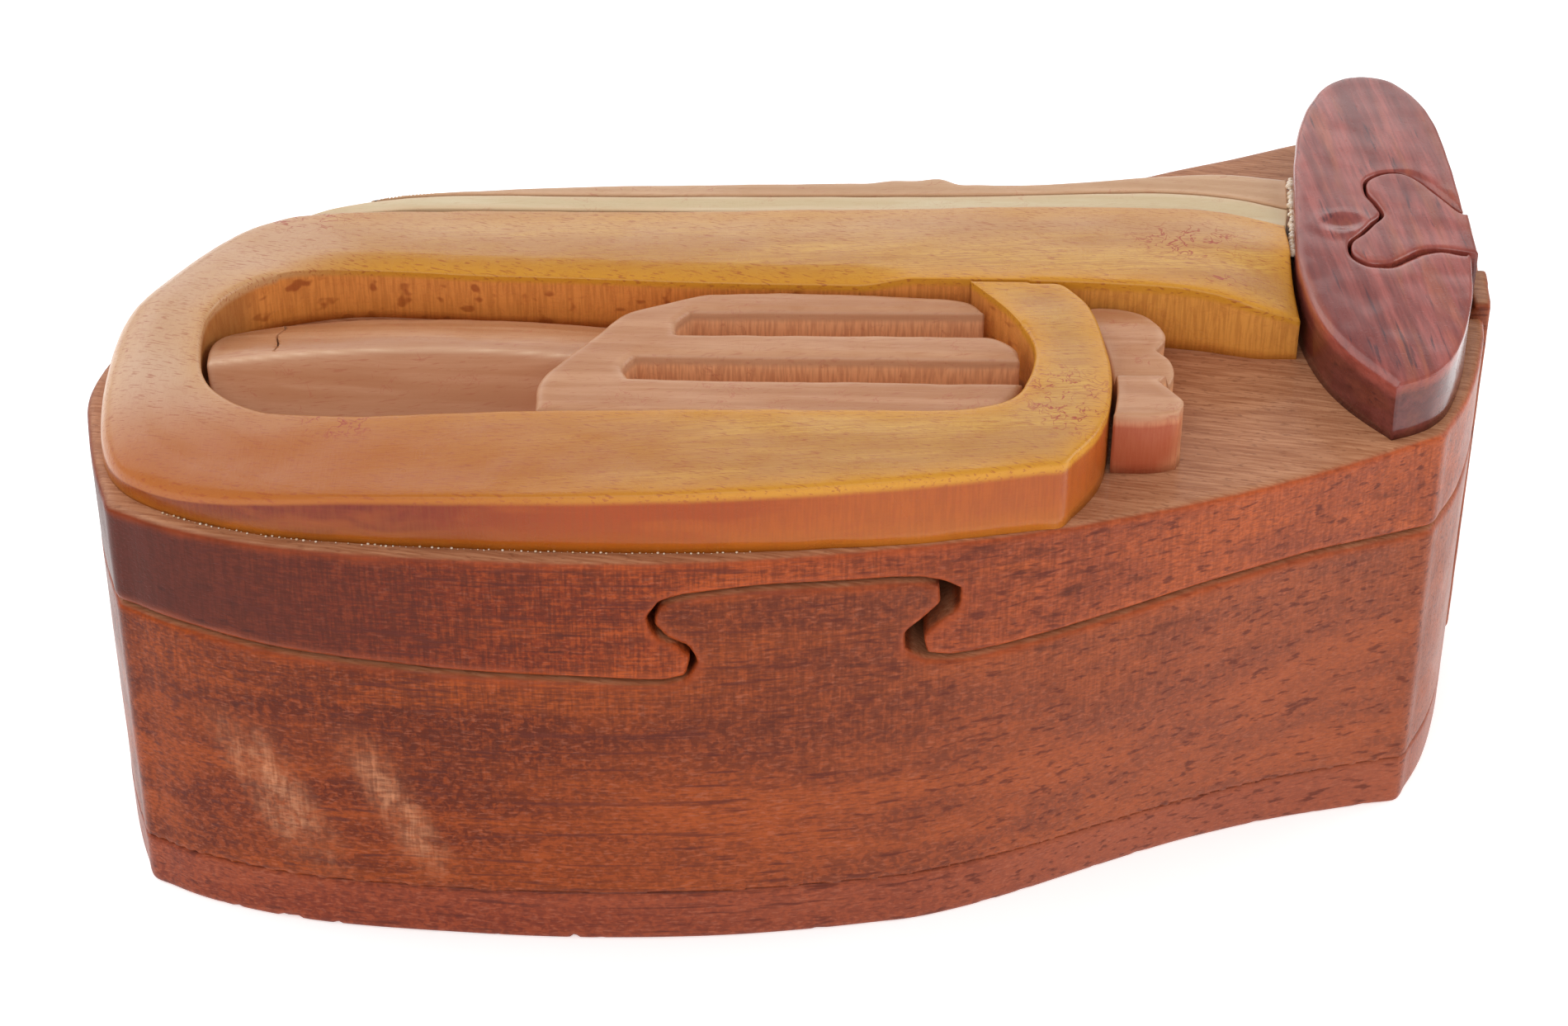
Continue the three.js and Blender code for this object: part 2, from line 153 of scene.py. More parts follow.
def fair(points, step, closed=True):
    """A smooth curve through the points, in steps of about one length. Sharp corners stay."""
    kept = [points[0]]
    for point in points[1:]:
        if np.linalg.norm(point - kept[-1]) > CLOSEST:
            kept.append(point)
    if closed and np.linalg.norm(kept[0] - kept[-1]) <= CLOSEST:
        kept.pop()
    points = np.array(kept)
    ahead = np.roll(points, -1, 0) - points
    length = np.linalg.norm(ahead, axis=1)
    onward = ahead / length[:, None]
    arriving = np.roll(onward, 1, 0)
    chord = (ahead + np.roll(ahead, 1, 0)) / (length + np.roll(length, 1))[:, None]
    turn = np.arccos(np.clip((onward * arriving).sum(1), -1, 1))
    sharp = turn > CORNER_TURN
    if not closed:
        sharp[[0, -1]] = True
    leave = np.where(sharp[:, None], onward, chord)
    arrive = np.where(sharp[:, None], arriving, chord)
    curve = []
    for i in range(len(points) if closed else len(points) - 1):
        j = (i + 1) % len(points)
        count = max(1, round(length[i] / step))
        t = (np.arange(count) / count)[:, None]
        curve.append(
            (2 * t**3 - 3 * t**2 + 1) * points[i]
            + (t**3 - 2 * t**2 + t) * length[i] * leave[i]
            + (3 * t**2 - 2 * t**3) * points[j]
            + (t**3 - t**2) * length[i] * arrive[j]
        )
    if not closed:
        curve.append(points[-1:])
    return np.concatenate(curve)


def counter_clockwise(outline):
    """The same outline, turned round if it runs clockwise seen from above."""
    x, y = outline.T
    doubled_area = (x * np.roll(y, -1) - np.roll(x, -1) * y).sum()
    return outline if doubled_area > 0 else outline[::-1]


def inward_of(outline):
    """Unit normals into a counter-clockwise outline, one at each point."""
    run = np.roll(outline, -1, 0) - np.roll(outline, 1, 0)
    run /= np.linalg.norm(run, axis=1)[:, None]
    return np.stack([-run[:, 1], run[:, 0]], 1)


def tree_of(points):
    """A search tree of points in the plane."""
    tree = kdtree.KDTree(len(points))
    for i, (x, y) in enumerate(points):
        tree.insert((x, y, 0), i)
    tree.balance()
    return tree


print("horn loop's foot:", len(foot_outline("horn_loop")), "points")

# %% [markdown]
# ## Meshes and their measures
#
# Small helpers turn arrays into mesh objects, join or cut two of them, and store a number at every
# vertex. The stored numbers, such as how near an edge a point lies, are what the finishes
# read later, so that wear and dye follow the shape.

# %% Mesh helpers
def mesh_object(name, vertices, faces):
    """A mesh object at the origin, from vertices in metres."""
    mesh = bpy.data.meshes.new(name)
    mesh.from_pydata([tuple(v) for v in vertices], [], [tuple(f) for f in faces])
    mesh.update()
    thing = bpy.data.objects.new(name, mesh)
    bpy.context.scene.collection.objects.link(thing)
    return thing


def places(mesh):
    """The vertices of a mesh as an array."""
    flat = np.empty(len(mesh.vertices) * 3, np.float32)
    mesh.vertices.foreach_get("co", flat)
    return flat.reshape(-1, 3).astype(float)


def set_places(mesh, vertices):
    mesh.vertices.foreach_set("co", vertices.astype(np.float32).ravel())
    mesh.update()


def normals(mesh):
    flat = np.empty(len(mesh.vertices) * 3, np.float32)
    mesh.vertex_normals.foreach_get("vector", flat)
    return flat.reshape(-1, 3).astype(float)


def note(mesh, name, values):
    """Stores one number a vertex under a name."""
    attribute = mesh.attributes.get(name) or mesh.attributes.new(name, "FLOAT", "POINT")
    attribute.data.foreach_set("value", np.asarray(values, np.float32))


def settled(thing):
    """Turns an object's modifiers into plain mesh."""
    graph = bpy.context.evaluated_depsgraph_get()
    mesh = bpy.data.meshes.new_from_object(thing.evaluated_get(graph))
    thing.modifiers.clear()
    old = thing.data
    thing.data = mesh
    bpy.data.meshes.remove(old)
    mesh.name = thing.name
    return thing


def combined(thing, tool, operation):
    """Cuts, joins or intersects a thing with a tool, which is used up."""
    modifier = thing.modifiers.new("saw", "BOOLEAN")
    modifier.operation = operation
    modifier.solver = "MANIFOLD"
    modifier.object = tool
    settled(thing)
    bpy.data.objects.remove(tool)
    return thing


def stacked(name, rings):
    """A closed solid through rings of points that have the same count, bottom ring first."""
    count = len(rings[0])
    vertices = np.concatenate(rings)
    faces = [list(range(count))[::-1], list(range(len(vertices) - count, len(vertices)))]
    for level in range(len(rings) - 1):
        low = level * count
        for i in range(count):
            j = (i + 1) % count
            faces.append([low + i, low + j, low + count + j, low + count + i])
    return mesh_object(name, vertices, faces)


def at_height(outline, height):
    return np.column_stack([outline, np.full(len(outline), height)])


def prism(name, outline, low, high):
    outline = counter_clockwise(outline)
    return stacked(name, [at_height(outline, low), at_height(outline, high)])


def smooth_step(value, start, end):
    t = np.clip((value - start) / (end - start), 0, 1)
    return t * t * (3 - 2 * t)


# %% [markdown]
# ## The block, sawn into a base and a lid
#
# On the real box one wavy saw cut runs straight through the block from front to back. It leaves a
# fishtail tab on the base and a socket in the lid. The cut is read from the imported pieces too: its
# line is where the front wall meets a face that runs straight back. The block itself is a stack of
# two rings, because its front leans in a little towards the bottom.

# %% The block's wall
BLOCK_STEPS = 1100
BLOCK_MIDDLE = np.array([6, 0]) * MM
TURNS = np.linspace(-math.pi, math.pi, BLOCK_STEPS, endpoint=False)
block_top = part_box("lid_board")[1].z
floor_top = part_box("base_floor")[1].z
seam_reach = size.x


def reach_of(outline):
    """The distance from the block's middle to an outline, in each direction."""
    away = outline - BLOCK_MIDDLE
    angle = np.arctan2(away[:, 1], away[:, 0])
    order = np.argsort(angle)
    return np.interp(TURNS, angle[order], np.linalg.norm(away, axis=1)[order], period=2 * math.pi)


key_outline = counter_clockwise(fair(foot_outline("key_body"), 0.4 * MM))
key_tree = tree_of(key_outline)
NEAR_KEY = 1.2 * MM
lid_rim = np.array([
    point for point in outlines_at("lid_board", block_top)[0]
    if key_tree.find((point[0], point[1], 0))[2] > NEAR_KEY
])
bottom_reach = reach_of(fair(foot_outline("base_floor"), 0.6 * MM))
top_reach = reach_of(fair(lid_rim, 0.6 * MM))


def block_ring(height):
    """The block's wall at a height."""
    share = height / block_top
    reach = bottom_reach * (1 - share) + top_reach * share
    ring = BLOCK_MIDDLE + reach[:, None] * np.column_stack([np.cos(TURNS), np.sin(TURNS)])
    return at_height(ring, height)


print("lean of the front, mm:", round(abs(bottom_reach - top_reach).max() / MM, 1))


# %% The saw cut, seen from the front
def seam_of(node):
    """The line in x and z where a node's front wall meets the saw cut."""
    shell = shell_of(node)
    front = -size.y / 6

    def is_cut(edge):
        slopes = sorted(abs(face.normal.y) for face in edge.link_faces)
        leaves = min(face.normal.y for face in edge.link_faces) < -0.3
        inside_block = floor_top + MM < min(v.co.z for v in edge.verts)
        below_top = max(v.co.z for v in edge.verts) < block_top - MM
        return slopes[0] < 0.02 and leaves and inside_block and below_top

    cut = [
        edge for edge in shell.edges
        if len(edge.link_faces) == 2 and is_cut(edge) and edge.verts[0].co.y < front
    ]
    line = chained(cut)[0][:, [0, 2]]
    shell.free()
    return line if line[0, 0] < line[-1, 0] else line[::-1]


def under_cut(name, line):
    """Everything below a cut, as a solid that runs past the block on every side."""
    line = fair(line, 0.4 * MM, closed=False)
    profile = np.vstack([
        [-seam_reach, -seam_reach], [seam_reach, -seam_reach], [seam_reach, line[-1, 1]],
        line[::-1], [-seam_reach, line[0, 1]],
    ])
    rings = [np.column_stack([profile[:, 0], np.full(len(profile), y), profile[:, 1]])
             for y in (size.y, -size.y)]
    return stacked(name, rings)


base_seam = seam_of("base_frame")
lid_seam = seam_of("lid_board")
print("saw cut:", len(base_seam), "and", len(lid_seam), "points, height, mm:",
      [round(z / MM, 1) for z in (base_seam[:, 1].min(), base_seam[:, 1].max())])


# %% [markdown]
# ## Rounding the edges of sawn blocks
#
# Sanding by hand rounds every sharp edge by about a millimetre and leaves the flats alone. Remeshing
# a block in small even squares and then relaxing its points does the same, because a point on a flat
# is already in the middle of its neighbours.

# %% Remesh and relax
PULL = 0.5


def relaxed(values, mesh, rounds):
    """Values at the vertices, pulled towards their neighbours' mean for a number of rounds."""
    pairs = np.empty(len(mesh.edges) * 2, np.int32)
    mesh.edges.foreach_get("vertices", pairs)
    a, b = pairs.reshape(-1, 2).T
    count = len(mesh.vertices)
    degree = np.maximum(np.bincount(pairs, minlength=count), 1)
    values = values.copy()
    for _ in range(rounds):
        for k in range(values.shape[1]):
            total = np.bincount(a, values[b, k], count) + np.bincount(b, values[a, k], count)
            values[:, k] += PULL * (total / degree - values[:, k])
    return values


def sanded_block(thing, grain_size, rounds):
    """Remeshes a block evenly and rounds its edges."""
    modifier = thing.modifiers.new("even mesh", "REMESH")
    modifier.mode = "VOXEL"
    modifier.voxel_size = grain_size
    settled(thing)
    set_places(thing.data, relaxed(places(thing.data), thing.data, rounds))


# %% True faces
EDGE_RADIUS = 0.8 * MM
EDGE_WIDTH = 1.4 * MM
SETTLING_ROUNDS = 3
SLOPE_STEP = 0.006


def wall_face(points):
    """How far points are outside the block's leaning wall, and the wall's normal beside them."""
    away = points[:, :2] - BLOCK_MIDDLE
    radius = np.linalg.norm(away, axis=1)
    angle = np.arctan2(away[:, 1], away[:, 0])
    share = points[:, 2] / block_top

    def reach(turn):
        low = np.interp(turn, TURNS, bottom_reach, period=2 * math.pi)
        high = np.interp(turn, TURNS, top_reach, period=2 * math.pi)
        return low * (1 - share) + high * share, (high - low) / block_top

    middle, lean = reach(angle)
    slope = (reach(angle + SLOPE_STEP)[0] - reach(angle - SLOPE_STEP)[0]) / (2 * SLOPE_STEP * middle)
    radial = away / radius[:, None]
    across = np.column_stack([-radial[:, 1], radial[:, 0]])
    normal = np.column_stack([radial - slope[:, None] * across, -lean])
    length = np.linalg.norm(normal, axis=1)
    return (radius - middle) / length, normal / length[:, None]


def line_face(line, outward, axes):
    """A face that runs straight along one axis. Its line lies in the plane of the two others."""
    tree = tree_of(line)

    def face(points):
        flat = points[:, axes]
        nearest = np.array([tree.find((u, v, 0))[1] for u, v in flat])
        normal = np.zeros_like(points)
        normal[:, axes] = outward[nearest]
        return ((flat - line[nearest]) * outward[nearest]).sum(1), normal

    return face


def hole_face(outline):
    """The wall of an upright hole. Points in the hole are outside the wood."""
    outline = counter_clockwise(fair(outline, 0.15 * MM))
    return line_face(outline, inward_of(outline), [0, 1])


def cut_face(line, side):
    """The saw cut. side is 1 for the wood below it and -1 for the wood above it."""
    line = fair(line, 0.12 * MM, closed=False)
    run = np.gradient(line, axis=0)
    run /= np.linalg.norm(run, axis=1)[:, None]
    return line_face(line, side * np.column_stack([-run[:, 1], run[:, 0]]), [0, 2])


def level_face(height, side):
    return lambda points: (side * (points[:, 2] - height), np.tile((0, 0, side), (len(points), 1)))


def settle_on(thing, rounded, crisp=()):
    """Puts each point on the true faces, with a round edge where two of the rounded ones meet."""
    points = places(thing.data)
    for _ in range(SETTLING_ROUNDS):
        found = [face(points) for face in rounded]
        distance = np.stack([d for d, _ in found])
        pull = np.maximum(distance + EDGE_RADIUS, 0)
        length = np.maximum(np.linalg.norm(pull, axis=0), 1e-9)
        off = length - EDGE_RADIUS
        normal = sum(p[:, None] * n for p, (_, n) in zip(pull, found)) / length[:, None]
        for face in crisp:
            d, n = face(points)
            beyond = d > off
            off = np.where(beyond, d, off)
            normal = np.where(beyond[:, None], n, normal)
        points = points - off[:, None] * normal
    set_places(thing.data, points)
    second = np.sort(distance, axis=0)[-2]
    note(thing.data, "edge", np.exp(np.minimum(second, 0) / EDGE_WIDTH))


# %% What a block's surface knows about itself
EDGE_ROUNDS = 10
EDGE_GAIN = 4.5


def note_upward(thing):
    """Stores how far a block's surface looks up."""
    spread = relaxed(normals(thing.data), thing.data, EDGE_ROUNDS // 3)
    note(thing.data, "upward", np.clip(spread[:, 2], 0, 1))


def note_block(thing):
    """Stores how far a block's surface looks up, and how near it is to an edge."""
    mesh = thing.data
    facing = normals(mesh)
    spread = relaxed(facing, mesh, EDGE_ROUNDS)
    note(mesh, "upward", np.clip(spread[:, 2], 0, 1))
    note(mesh, "edge", np.clip((1 - np.linalg.norm(spread, axis=1)) * EDGE_GAIN, 0, 1))


# %% [markdown]
# ## Relief pieces
#
# Every relief piece is sawn from a thin board and glued flat on the lid, so it has upright walls and
# a top that is shaped by hand. The top is meshed from its rim inwards: rows of points follow the
# quarter turn of the rounded edge, an even field of points covers the rest, and a Delaunay
# triangulation joins them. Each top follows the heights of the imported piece.

# %% The relief builder
RIM_STEP = 0.45 * MM
FIELD_STEP = 0.8 * MM
ROUND_ROWS = 6
SUNK = 0.12 * MM
WALL_ROWS = 5
RIM_WIDTH = 4 * MM


def top_heights(node, blur=3 * MM):
    """A function that gives a node's top height at places, from the heights of its upper points."""
    shell = shell_of(node)
    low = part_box(node)[0].z
    upper = np.array([v.co[:] for v in shell.verts if v.co.z > low + TOUCH])
    shell.free()

    def height(points):
        apart = ((points[:, None, :] - upper[None, :, :2]) ** 2).sum(2) + blur**2
        weight = apart**-3
        return (weight * upper[:, 2]).sum(1) / weight.sum(1)

    return height


def field_in(rim, tree, inward, clear, step):
    """Evenly spread points inside a rim, each further from it than the rim's clear distance there."""
    low, high = rim.min(0), rim.max(0)
    rows = np.arange(low[1], high[1], step * 0.87)
    points = []
    for k, y in enumerate(rows):
        for x in np.arange(low[0] + (k % 2) * step / 2, high[0], step):
            _, i, gap = tree.find((x, y, 0))
            if gap > clear[i] + step * 0.35 and np.dot((x, y) - rim[i], inward[i]) > 0:
                points.append((x, y))
    return np.array(points).reshape(-1, 2)


def inside(points, outline):
    """True for each point that lies inside a closed outline."""
    found = []
    x0, y0 = outline.T
    x1, y1 = np.roll(outline, -1, 0).T
    slope = (x1 - x0) / np.where(y1 == y0, 1, y1 - y0)
    for batch in np.array_split(points, len(points) // 2000 + 1):
        x, y = batch[:, 0:1], batch[:, 1:2]
        crossed = ((y0 > y) != (y1 > y)) & (x < x0 + (y - y0) * slope)
        found.append(crossed.sum(1) % 2 == 1)
    return np.concatenate(found)


def relief(name, outline, low, height, rounding, step=RIM_STEP, field_step=FIELD_STEP):
    """A flat-footed piece. rounding gives the reach and the drop of the rounded edge at rim points."""
    rim = counter_clockwise(fair(outline, step))
    inward = inward_of(rim)
    tree = tree_of(rim)
    reach, drop = rounding(rim)
    points = [rim]
    falls = [drop]
    rim_gap = [np.zeros(len(rim))]
    for row in range(1, ROUND_ROWS + 1):
        angle = math.pi / 2 * row / ROUND_ROWS
        inset = reach * (1 - math.cos(angle))
        moved = rim + inward * inset[:, None]
        gap = np.array([tree.find((x, y, 0))[2] for x, y in moved])
        kept = gap > inset * 0.96 - 0.001 * MM
        points.append(moved[kept])
        falls.append(drop[kept] * (1 - math.sin(angle)))
        rim_gap.append(inset[kept])
    field = field_in(rim, tree, inward, reach, field_step)
    points.append(field)
    falls.append(np.zeros(len(field)))
    rim_gap.append(np.array([tree.find((x, y, 0))[2] for x, y in field]))
    flat = np.concatenate(points)
    fall = np.concatenate(falls)
    from_rim = np.concatenate(rim_gap)
    count = len(rim)
    around_rim = [(i, (i + 1) % count) for i in range(count)]
    found = geometry.delaunay_2d_cdt([Vector(p) / MM for p in flat], around_rim, [], 0, 1e-5, True)
    source = [ids[0] if ids else -1 for ids in found[3]]
    top = np.array([v[:] for v in found[0]]) * MM
    known = np.array(source) >= 0
    fall_at = np.where(known, fall[source], 0)
    from_rim_at = np.where(known, from_rim[source], 0)
    upper = at_height(top, 0)
    upper[:, 2] = height(top) - fall_at
    place_of = {s: i for i, s in enumerate(source) if 0 <= s < count}
    order = [place_of[s] for s in range(count) if s in place_of]
    vertices = [upper]
    corners = np.array(found[2])
    faces = [tuple(face) for face in corners[inside(top[corners].mean(1), rim)]]
    above = order
    total = len(upper)
    below_rim = [np.zeros(total)]
    for row in range(1, WALL_ROWS + 1):
        share = row / WALL_ROWS
        ring = upper[order].copy()
        ring[:, 2] = ring[:, 2] * (1 - share) + (low - SUNK) * share
        below_rim.append(upper[order, 2] - ring[:, 2])
        vertices.append(ring)
        under = list(range(total, total + len(order)))
        for i in range(len(order)):
            j = (i + 1) % len(order)
            faces.append((above[i], under[i], under[j], above[j]))
        above = under
        total += len(order)
    faces.append(tuple(above[::-1]))
    thing = mesh_object(name, np.concatenate(vertices), faces)
    mesh = thing.data
    walls = np.concatenate(below_rim)
    tops = np.concatenate([from_rim_at, np.zeros(total - len(upper))])
    note(mesh, "wall", np.concatenate([np.zeros(len(upper)), np.ones(total - len(upper))]))
    note(mesh, "edge", np.exp(-(walls + tops) / EDGE_WIDTH))
    note(mesh, "rim", np.exp(-tops / RIM_WIDTH))
    note(mesh, "foot", np.exp(-np.maximum(places(mesh)[:, 2] - low, 0) / EDGE_WIDTH))
    return thing


def plain_rounding(reach, drop):
    """The same rounded edge all round."""
    return lambda rim: (np.full(len(rim), reach), np.full(len(rim), drop))


# %% [markdown]
# ## Base and floor board
#
# The base is the block below the saw cut, hollowed by a second cut and slotted for the key. It could
# be lofted by hand, but real saw cuts are straight through, so three boolean cuts give the true
# shape. The floor board is a separate slice glued under it. Its lower edge is a little ragged at
# the front left, where the saw tore small chips out as it left the wood.

# %% Hollow base
KEY_GAP = 0.35 * MM
BASE_GRAIN = 0.7 * MM
SANDING_ROUNDS = 2
ABOVE_ALL = 20 * MM


def key_slot(name):
    """The key's outline, let out by its clearance, as a tall cutting tool."""
    outline = key_outline - inward_of(key_outline) * KEY_GAP
    return prism(name, outline, floor_top - MM, block_top + ABOVE_ALL)


hollow_outline = fair(outlines_at("base_frame", floor_top)[1], 0.6 * MM)
base = stacked("hollow_base", [block_ring(floor_top), block_ring(block_top)])
combined(base, under_cut("base_cut", base_seam), "INTERSECT")
combined(base, prism("hollow", hollow_outline, floor_top - MM, block_top + MM), "DIFFERENCE")
combined(base, key_slot("base_slot"), "DIFFERENCE")
sanded_block(base, BASE_GRAIN, SANDING_ROUNDS)
slot_face = hole_face(key_outline - inward_of(key_outline) * KEY_GAP)
settle_on(
    base,
    [wall_face, cut_face(base_seam, 1), hole_face(hollow_outline), slot_face],
    [level_face(floor_top, -1)],
)
note_upward(base)
print("hollow base:", len(base.data.polygons), "faces")

# %% Floor board
FLOOR_LEVELS = (
    (0, 0.4), (0.15, 0.2), (0.4, 0.08), (0.8, 0.02), (1.4, 0), (2.6, 0), (4, 0), (5.4, 0),
    (6.3, 0), (6.7, 0.03), (6.8, 0.12), (7.0, 0.14),
)
CHIP_LIMIT = 0.3
CHIP_DEPTH = 1.5 * MM
CHIP_FADE = 0.5 * MM
WIDE_TEAR = 3.5 * MM
FINE_TEAR = 1.1 * MM


def chip(x, y):
    """How deep a chip the saw tore out at a place on the lower edge. The left has the most."""
    tear = noise.noise((x / WIDE_TEAR, y / WIDE_TEAR, 0))
    tear += 0.5 * noise.noise((x / FINE_TEAR, y / FINE_TEAR, 5))
    share = 1 - 0.85 * smooth_step(x, -30 * MM, 10 * MM)
    return max(0, tear - CHIP_LIMIT) * CHIP_DEPTH * share


floor_rings = []
for level, inset in FLOOR_LEVELS:
    ring = block_ring(level * MM)
    fade = math.exp(-level * MM / CHIP_FADE)
    depth = np.array([chip(x, y) for x, y, _ in ring]) * fade
    ring[:, :2] += inward_of(ring[:, :2]) * (inset * MM + depth)[:, None]
    if level:
        ring[:, 2] += depth / 2
    floor_rings.append(ring)
floor_board = stacked("floor_board", floor_rings)
note_block(floor_board)
print("floor board:", len(floor_board.data.polygons), "faces")

# %% [markdown]
# ## Lid, key and lining
#
# The lid is the same block above the cut. The key is a tall prism of the same wood that stands on
# the floor board, with a head in rosewood. The hollow is lined with a loose piece of felt, cut to
# its outline and laid in, so it is a thin slab with a lumpy top.

# %% Lid
LID_GRAIN = 0.6 * MM
LID_BLANK_LOW = block_top * 0.55
lid = stacked("lid", [block_ring(LID_BLANK_LOW), block_ring(block_top)])
combined(lid, under_cut("lid_cut", lid_seam), "DIFFERENCE")
combined(lid, key_slot("lid_slot"), "DIFFERENCE")
sanded_block(lid, LID_GRAIN, SANDING_ROUNDS)
settle_on(lid, [wall_face, cut_face(lid_seam, -1), slot_face, level_face(block_top, 1)])
note_upward(lid)
print("lid:", len(lid.data.polygons), "faces")

# %% Key
KEY_GRAIN = 0.35 * MM
KEY_SANDING_ROUNDS = 4
head_outline = counter_clockwise(fair(foot_outline("key_cap"), 0.4 * MM))
key_low, key_high = (corner.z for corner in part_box("key_body"))
head_room = head_outline - inward_of(head_outline) * KEY_GAP
key = prism("key", key_outline, key_low, key_high)
combined(key, prism("head_room", head_room, block_top, block_top + ABOVE_ALL), "DIFFERENCE")
sanded_block(key, KEY_GRAIN, KEY_SANDING_ROUNDS)
note_block(key)
print("key:", len(key.data.polygons), "faces")

# %% Felt lining
FELT_LUMP = 7 * MM
FELT_LUMP_DEPTH = 0.1 * MM
felt_low, felt_high = (corner.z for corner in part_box("felt_pad"))
felt_outline = foot_outline("felt_pad")


def felt_height(points):
    lumps = np.array([noise.noise((x / FELT_LUMP, y / FELT_LUMP, 0)) for x, y in points])
    return felt_high + FELT_LUMP_DEPTH * (lumps - 1)


felt = relief("felt_lining", felt_outline, felt_low + SUNK, felt_height,
              plain_rounding(0.5 * MM, 0.4 * MM), step=0.9 * MM)

# %% [markdown]
# ## The tuba's horn
#
# One board of yellow wood makes the far branch, the left bow, the near arm and its curved end. A
# knife and sandpaper shaped it after gluing: the left bow is rounded like a bar of soap, and a
# narrow flat bevel runs along the far side of the window. So the rounding changes with the place
# on the rim, and the bevel is taken off the height near that side.

# %% Horn and loop
BOW_START = -48 * MM
BOW_END = -78 * MM
BEVEL_WIDTH = 2.1 * MM
BEVEL_DROP = 1.1 * MM
horn_top = top_heights("horn_loop")
horn_rim = fair(foot_outline("horn_loop"), RIM_STEP)


def in_window(x, y):
    return (x > -70 * MM) & (x < 26 * MM) & (y > -31 * MM) & (y < 4 * MM)


def horn_rounding(rim):
    x, y = rim.T
    bow = 1 - smooth_step(x, BOW_END, BOW_START)
    window = in_window(x, y)
    glued = smooth_step(x, -70 * MM, -50 * MM) * (y > 5 * MM)
    far_side = window & (y > -12 * MM) & (x > -62 * MM)
    reach = np.where(window, 0.8, (0.7 + 4.4 * bow) * (1 - glued) + 0.35 * glued)
    drop = np.where(window, 0.6, (0.5 + 2.8 * bow) * (1 - glued) + 0.2 * glued)
    return np.where(far_side, 0.3, reach) * MM, np.where(far_side, 0.2, drop) * MM


beveled_rim = horn_rim[in_window(*horn_rim.T) & (horn_rim[:, 1] > -9 * MM)]
bevel_tree = tree_of(beveled_rim)


def horn_height(points):
    gap = np.array([bevel_tree.find((x, y, 0))[2] for x, y in points])
    bevel = BEVEL_DROP * np.clip(1 - gap / BEVEL_WIDTH, 0, 1)
    fading = smooth_step(points[:, 0], -64 * MM, -50 * MM) * smooth_step(points[:, 0], 13 * MM, 6 * MM)
    return horn_top(points) - bevel * fading


horn = relief("horn_and_loop", foot_outline("horn_loop"), block_top, horn_height, horn_rounding)
print("horn:", len(horn.data.polygons), "faces")

# %% [markdown]
# ## Bell
#
# The bell is a leaning oval slab. Its left edge is rounded and its front edge is crisp. Bell and key
# head were sanded as one, so one smooth crown gives both their tops. A gouge slipped beside the key
# and left a small dent, which is a shallow bowl with a raised lip.

# %% Bell
DENT = np.array([64.0, 9.6]) * MM
DENT_SIZE = 1.2 * MM
DENT_DEPTH = 0.45 * MM
CROWN_DEPTH = 3.5 * MM


def crown_over(nodes, keep=0.25 * MM):
    """One smooth crown through the upper points of several nodes, so that they lie flush."""
    upper = []
    for node in nodes:
        low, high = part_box(node)
        shell = shell_of(node)
        upper += [v.co[:] for v in shell.verts if v.co.z > max(low.z, high.z - CROWN_DEPTH)]
        shell.free()
    upper = np.array(upper)
    middle = upper[:, :2].mean(0)

    def terms(points):
        x, y = (points - middle).T / (20 * MM)
        return np.column_stack([np.ones(len(x)), x, y, x * x, x * y, y * y])

    shares, *_ = np.linalg.lstsq(terms(upper[:, :2]), upper[:, 2], rcond=None)
    highest = upper[:, 2].max()
    off = np.abs(terms(upper[:, :2]) @ shares - upper[:, 2]).max()
    print("crown: off by", round(off / MM, 2), "mm")
    return lambda points: np.minimum(terms(points) @ shares + keep, highest)


bell_top = crown_over(("bell", "key_cap"))


def bell_height(points):
    away = np.linalg.norm((points - DENT) * (0.7, 1), axis=1) / DENT_SIZE
    dent = DENT_DEPTH * (np.exp(-away**2) - 0.35 * np.exp(-((away - 1.7) ** 2) / 0.3))
    return bell_top(points) - dent


def bell_rounding(rim):
    """The left edge and the far end are rounded, the front and the right are crisp."""
    outward = -inward_of(rim)
    soft = np.clip(-outward[:, 0] * 1.2, 0, 1) + np.clip(outward[:, 1], 0, 1) * 0.8
    soft = np.clip(soft, 0, 1)
    return (0.5 + 0.9 * soft) * MM, (0.3 + 0.7 * soft) * MM


bell = relief("bell_oval", foot_outline("bell"), block_top, bell_height, bell_rounding)
head = relief("key_head", head_outline, block_top, bell_top,
              plain_rounding(0.5 * MM, 0.35 * MM))
print("bell:", len(bell.data.polygons), "faces, key head:", len(head.data.polygons), "faces")

# %% [markdown]
# ## Pipes and valves
#
# The cream stripe and the tan pipe lie behind the horn. The inner pipe is a flat board with one
# crisp ridge carved along it, steeper on the near side, and a hair crack across its far face. The
# valves are a comb with three fingers and a separate piece with three lobes.

# %% Stripe, back pipe and inner pipe
RIDGE_X = -43 * MM
RIDGE_Y = -12.3 * MM
RIDGE_BEND = 5
FAR_FALL = 3.5 * MM
NEAR_SLOPE = 0.52
RIDGE_LINE = 0.35 * MM
CRACK_X = -60.9 * MM
CRACK_WIDTH = 0.16 * MM
CRACK_REACH = (-12.6 * MM, -2.6 * MM)
CRACK_FLOOR = 3.4 * MM
pipe_low, pipe_high = (corner.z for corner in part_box("inner_pipe"))


def pipe_rounding(rim):
    """The back edge falls away like the side of a pipe, the glued front edge hardly at all."""
    back = np.clip(-inward_of(rim)[:, 1], 0, 1)
    return (0.3 + 0.7 * back) * MM, (0.2 + 0.3 * back) * MM


def inner_height(points):
    x, y = points.T
    past = y - (RIDGE_Y - RIDGE_BEND * (x - RIDGE_X) ** 2)
    far = pipe_high - FAR_FALL * (np.clip(past, 0, None) / (12 * MM)) ** 1.7
    near = pipe_high - NEAR_SLOPE * np.clip(-past, 0, None)
    return np.maximum(np.where(past > 0, far, near), pipe_low + 0.9 * MM)


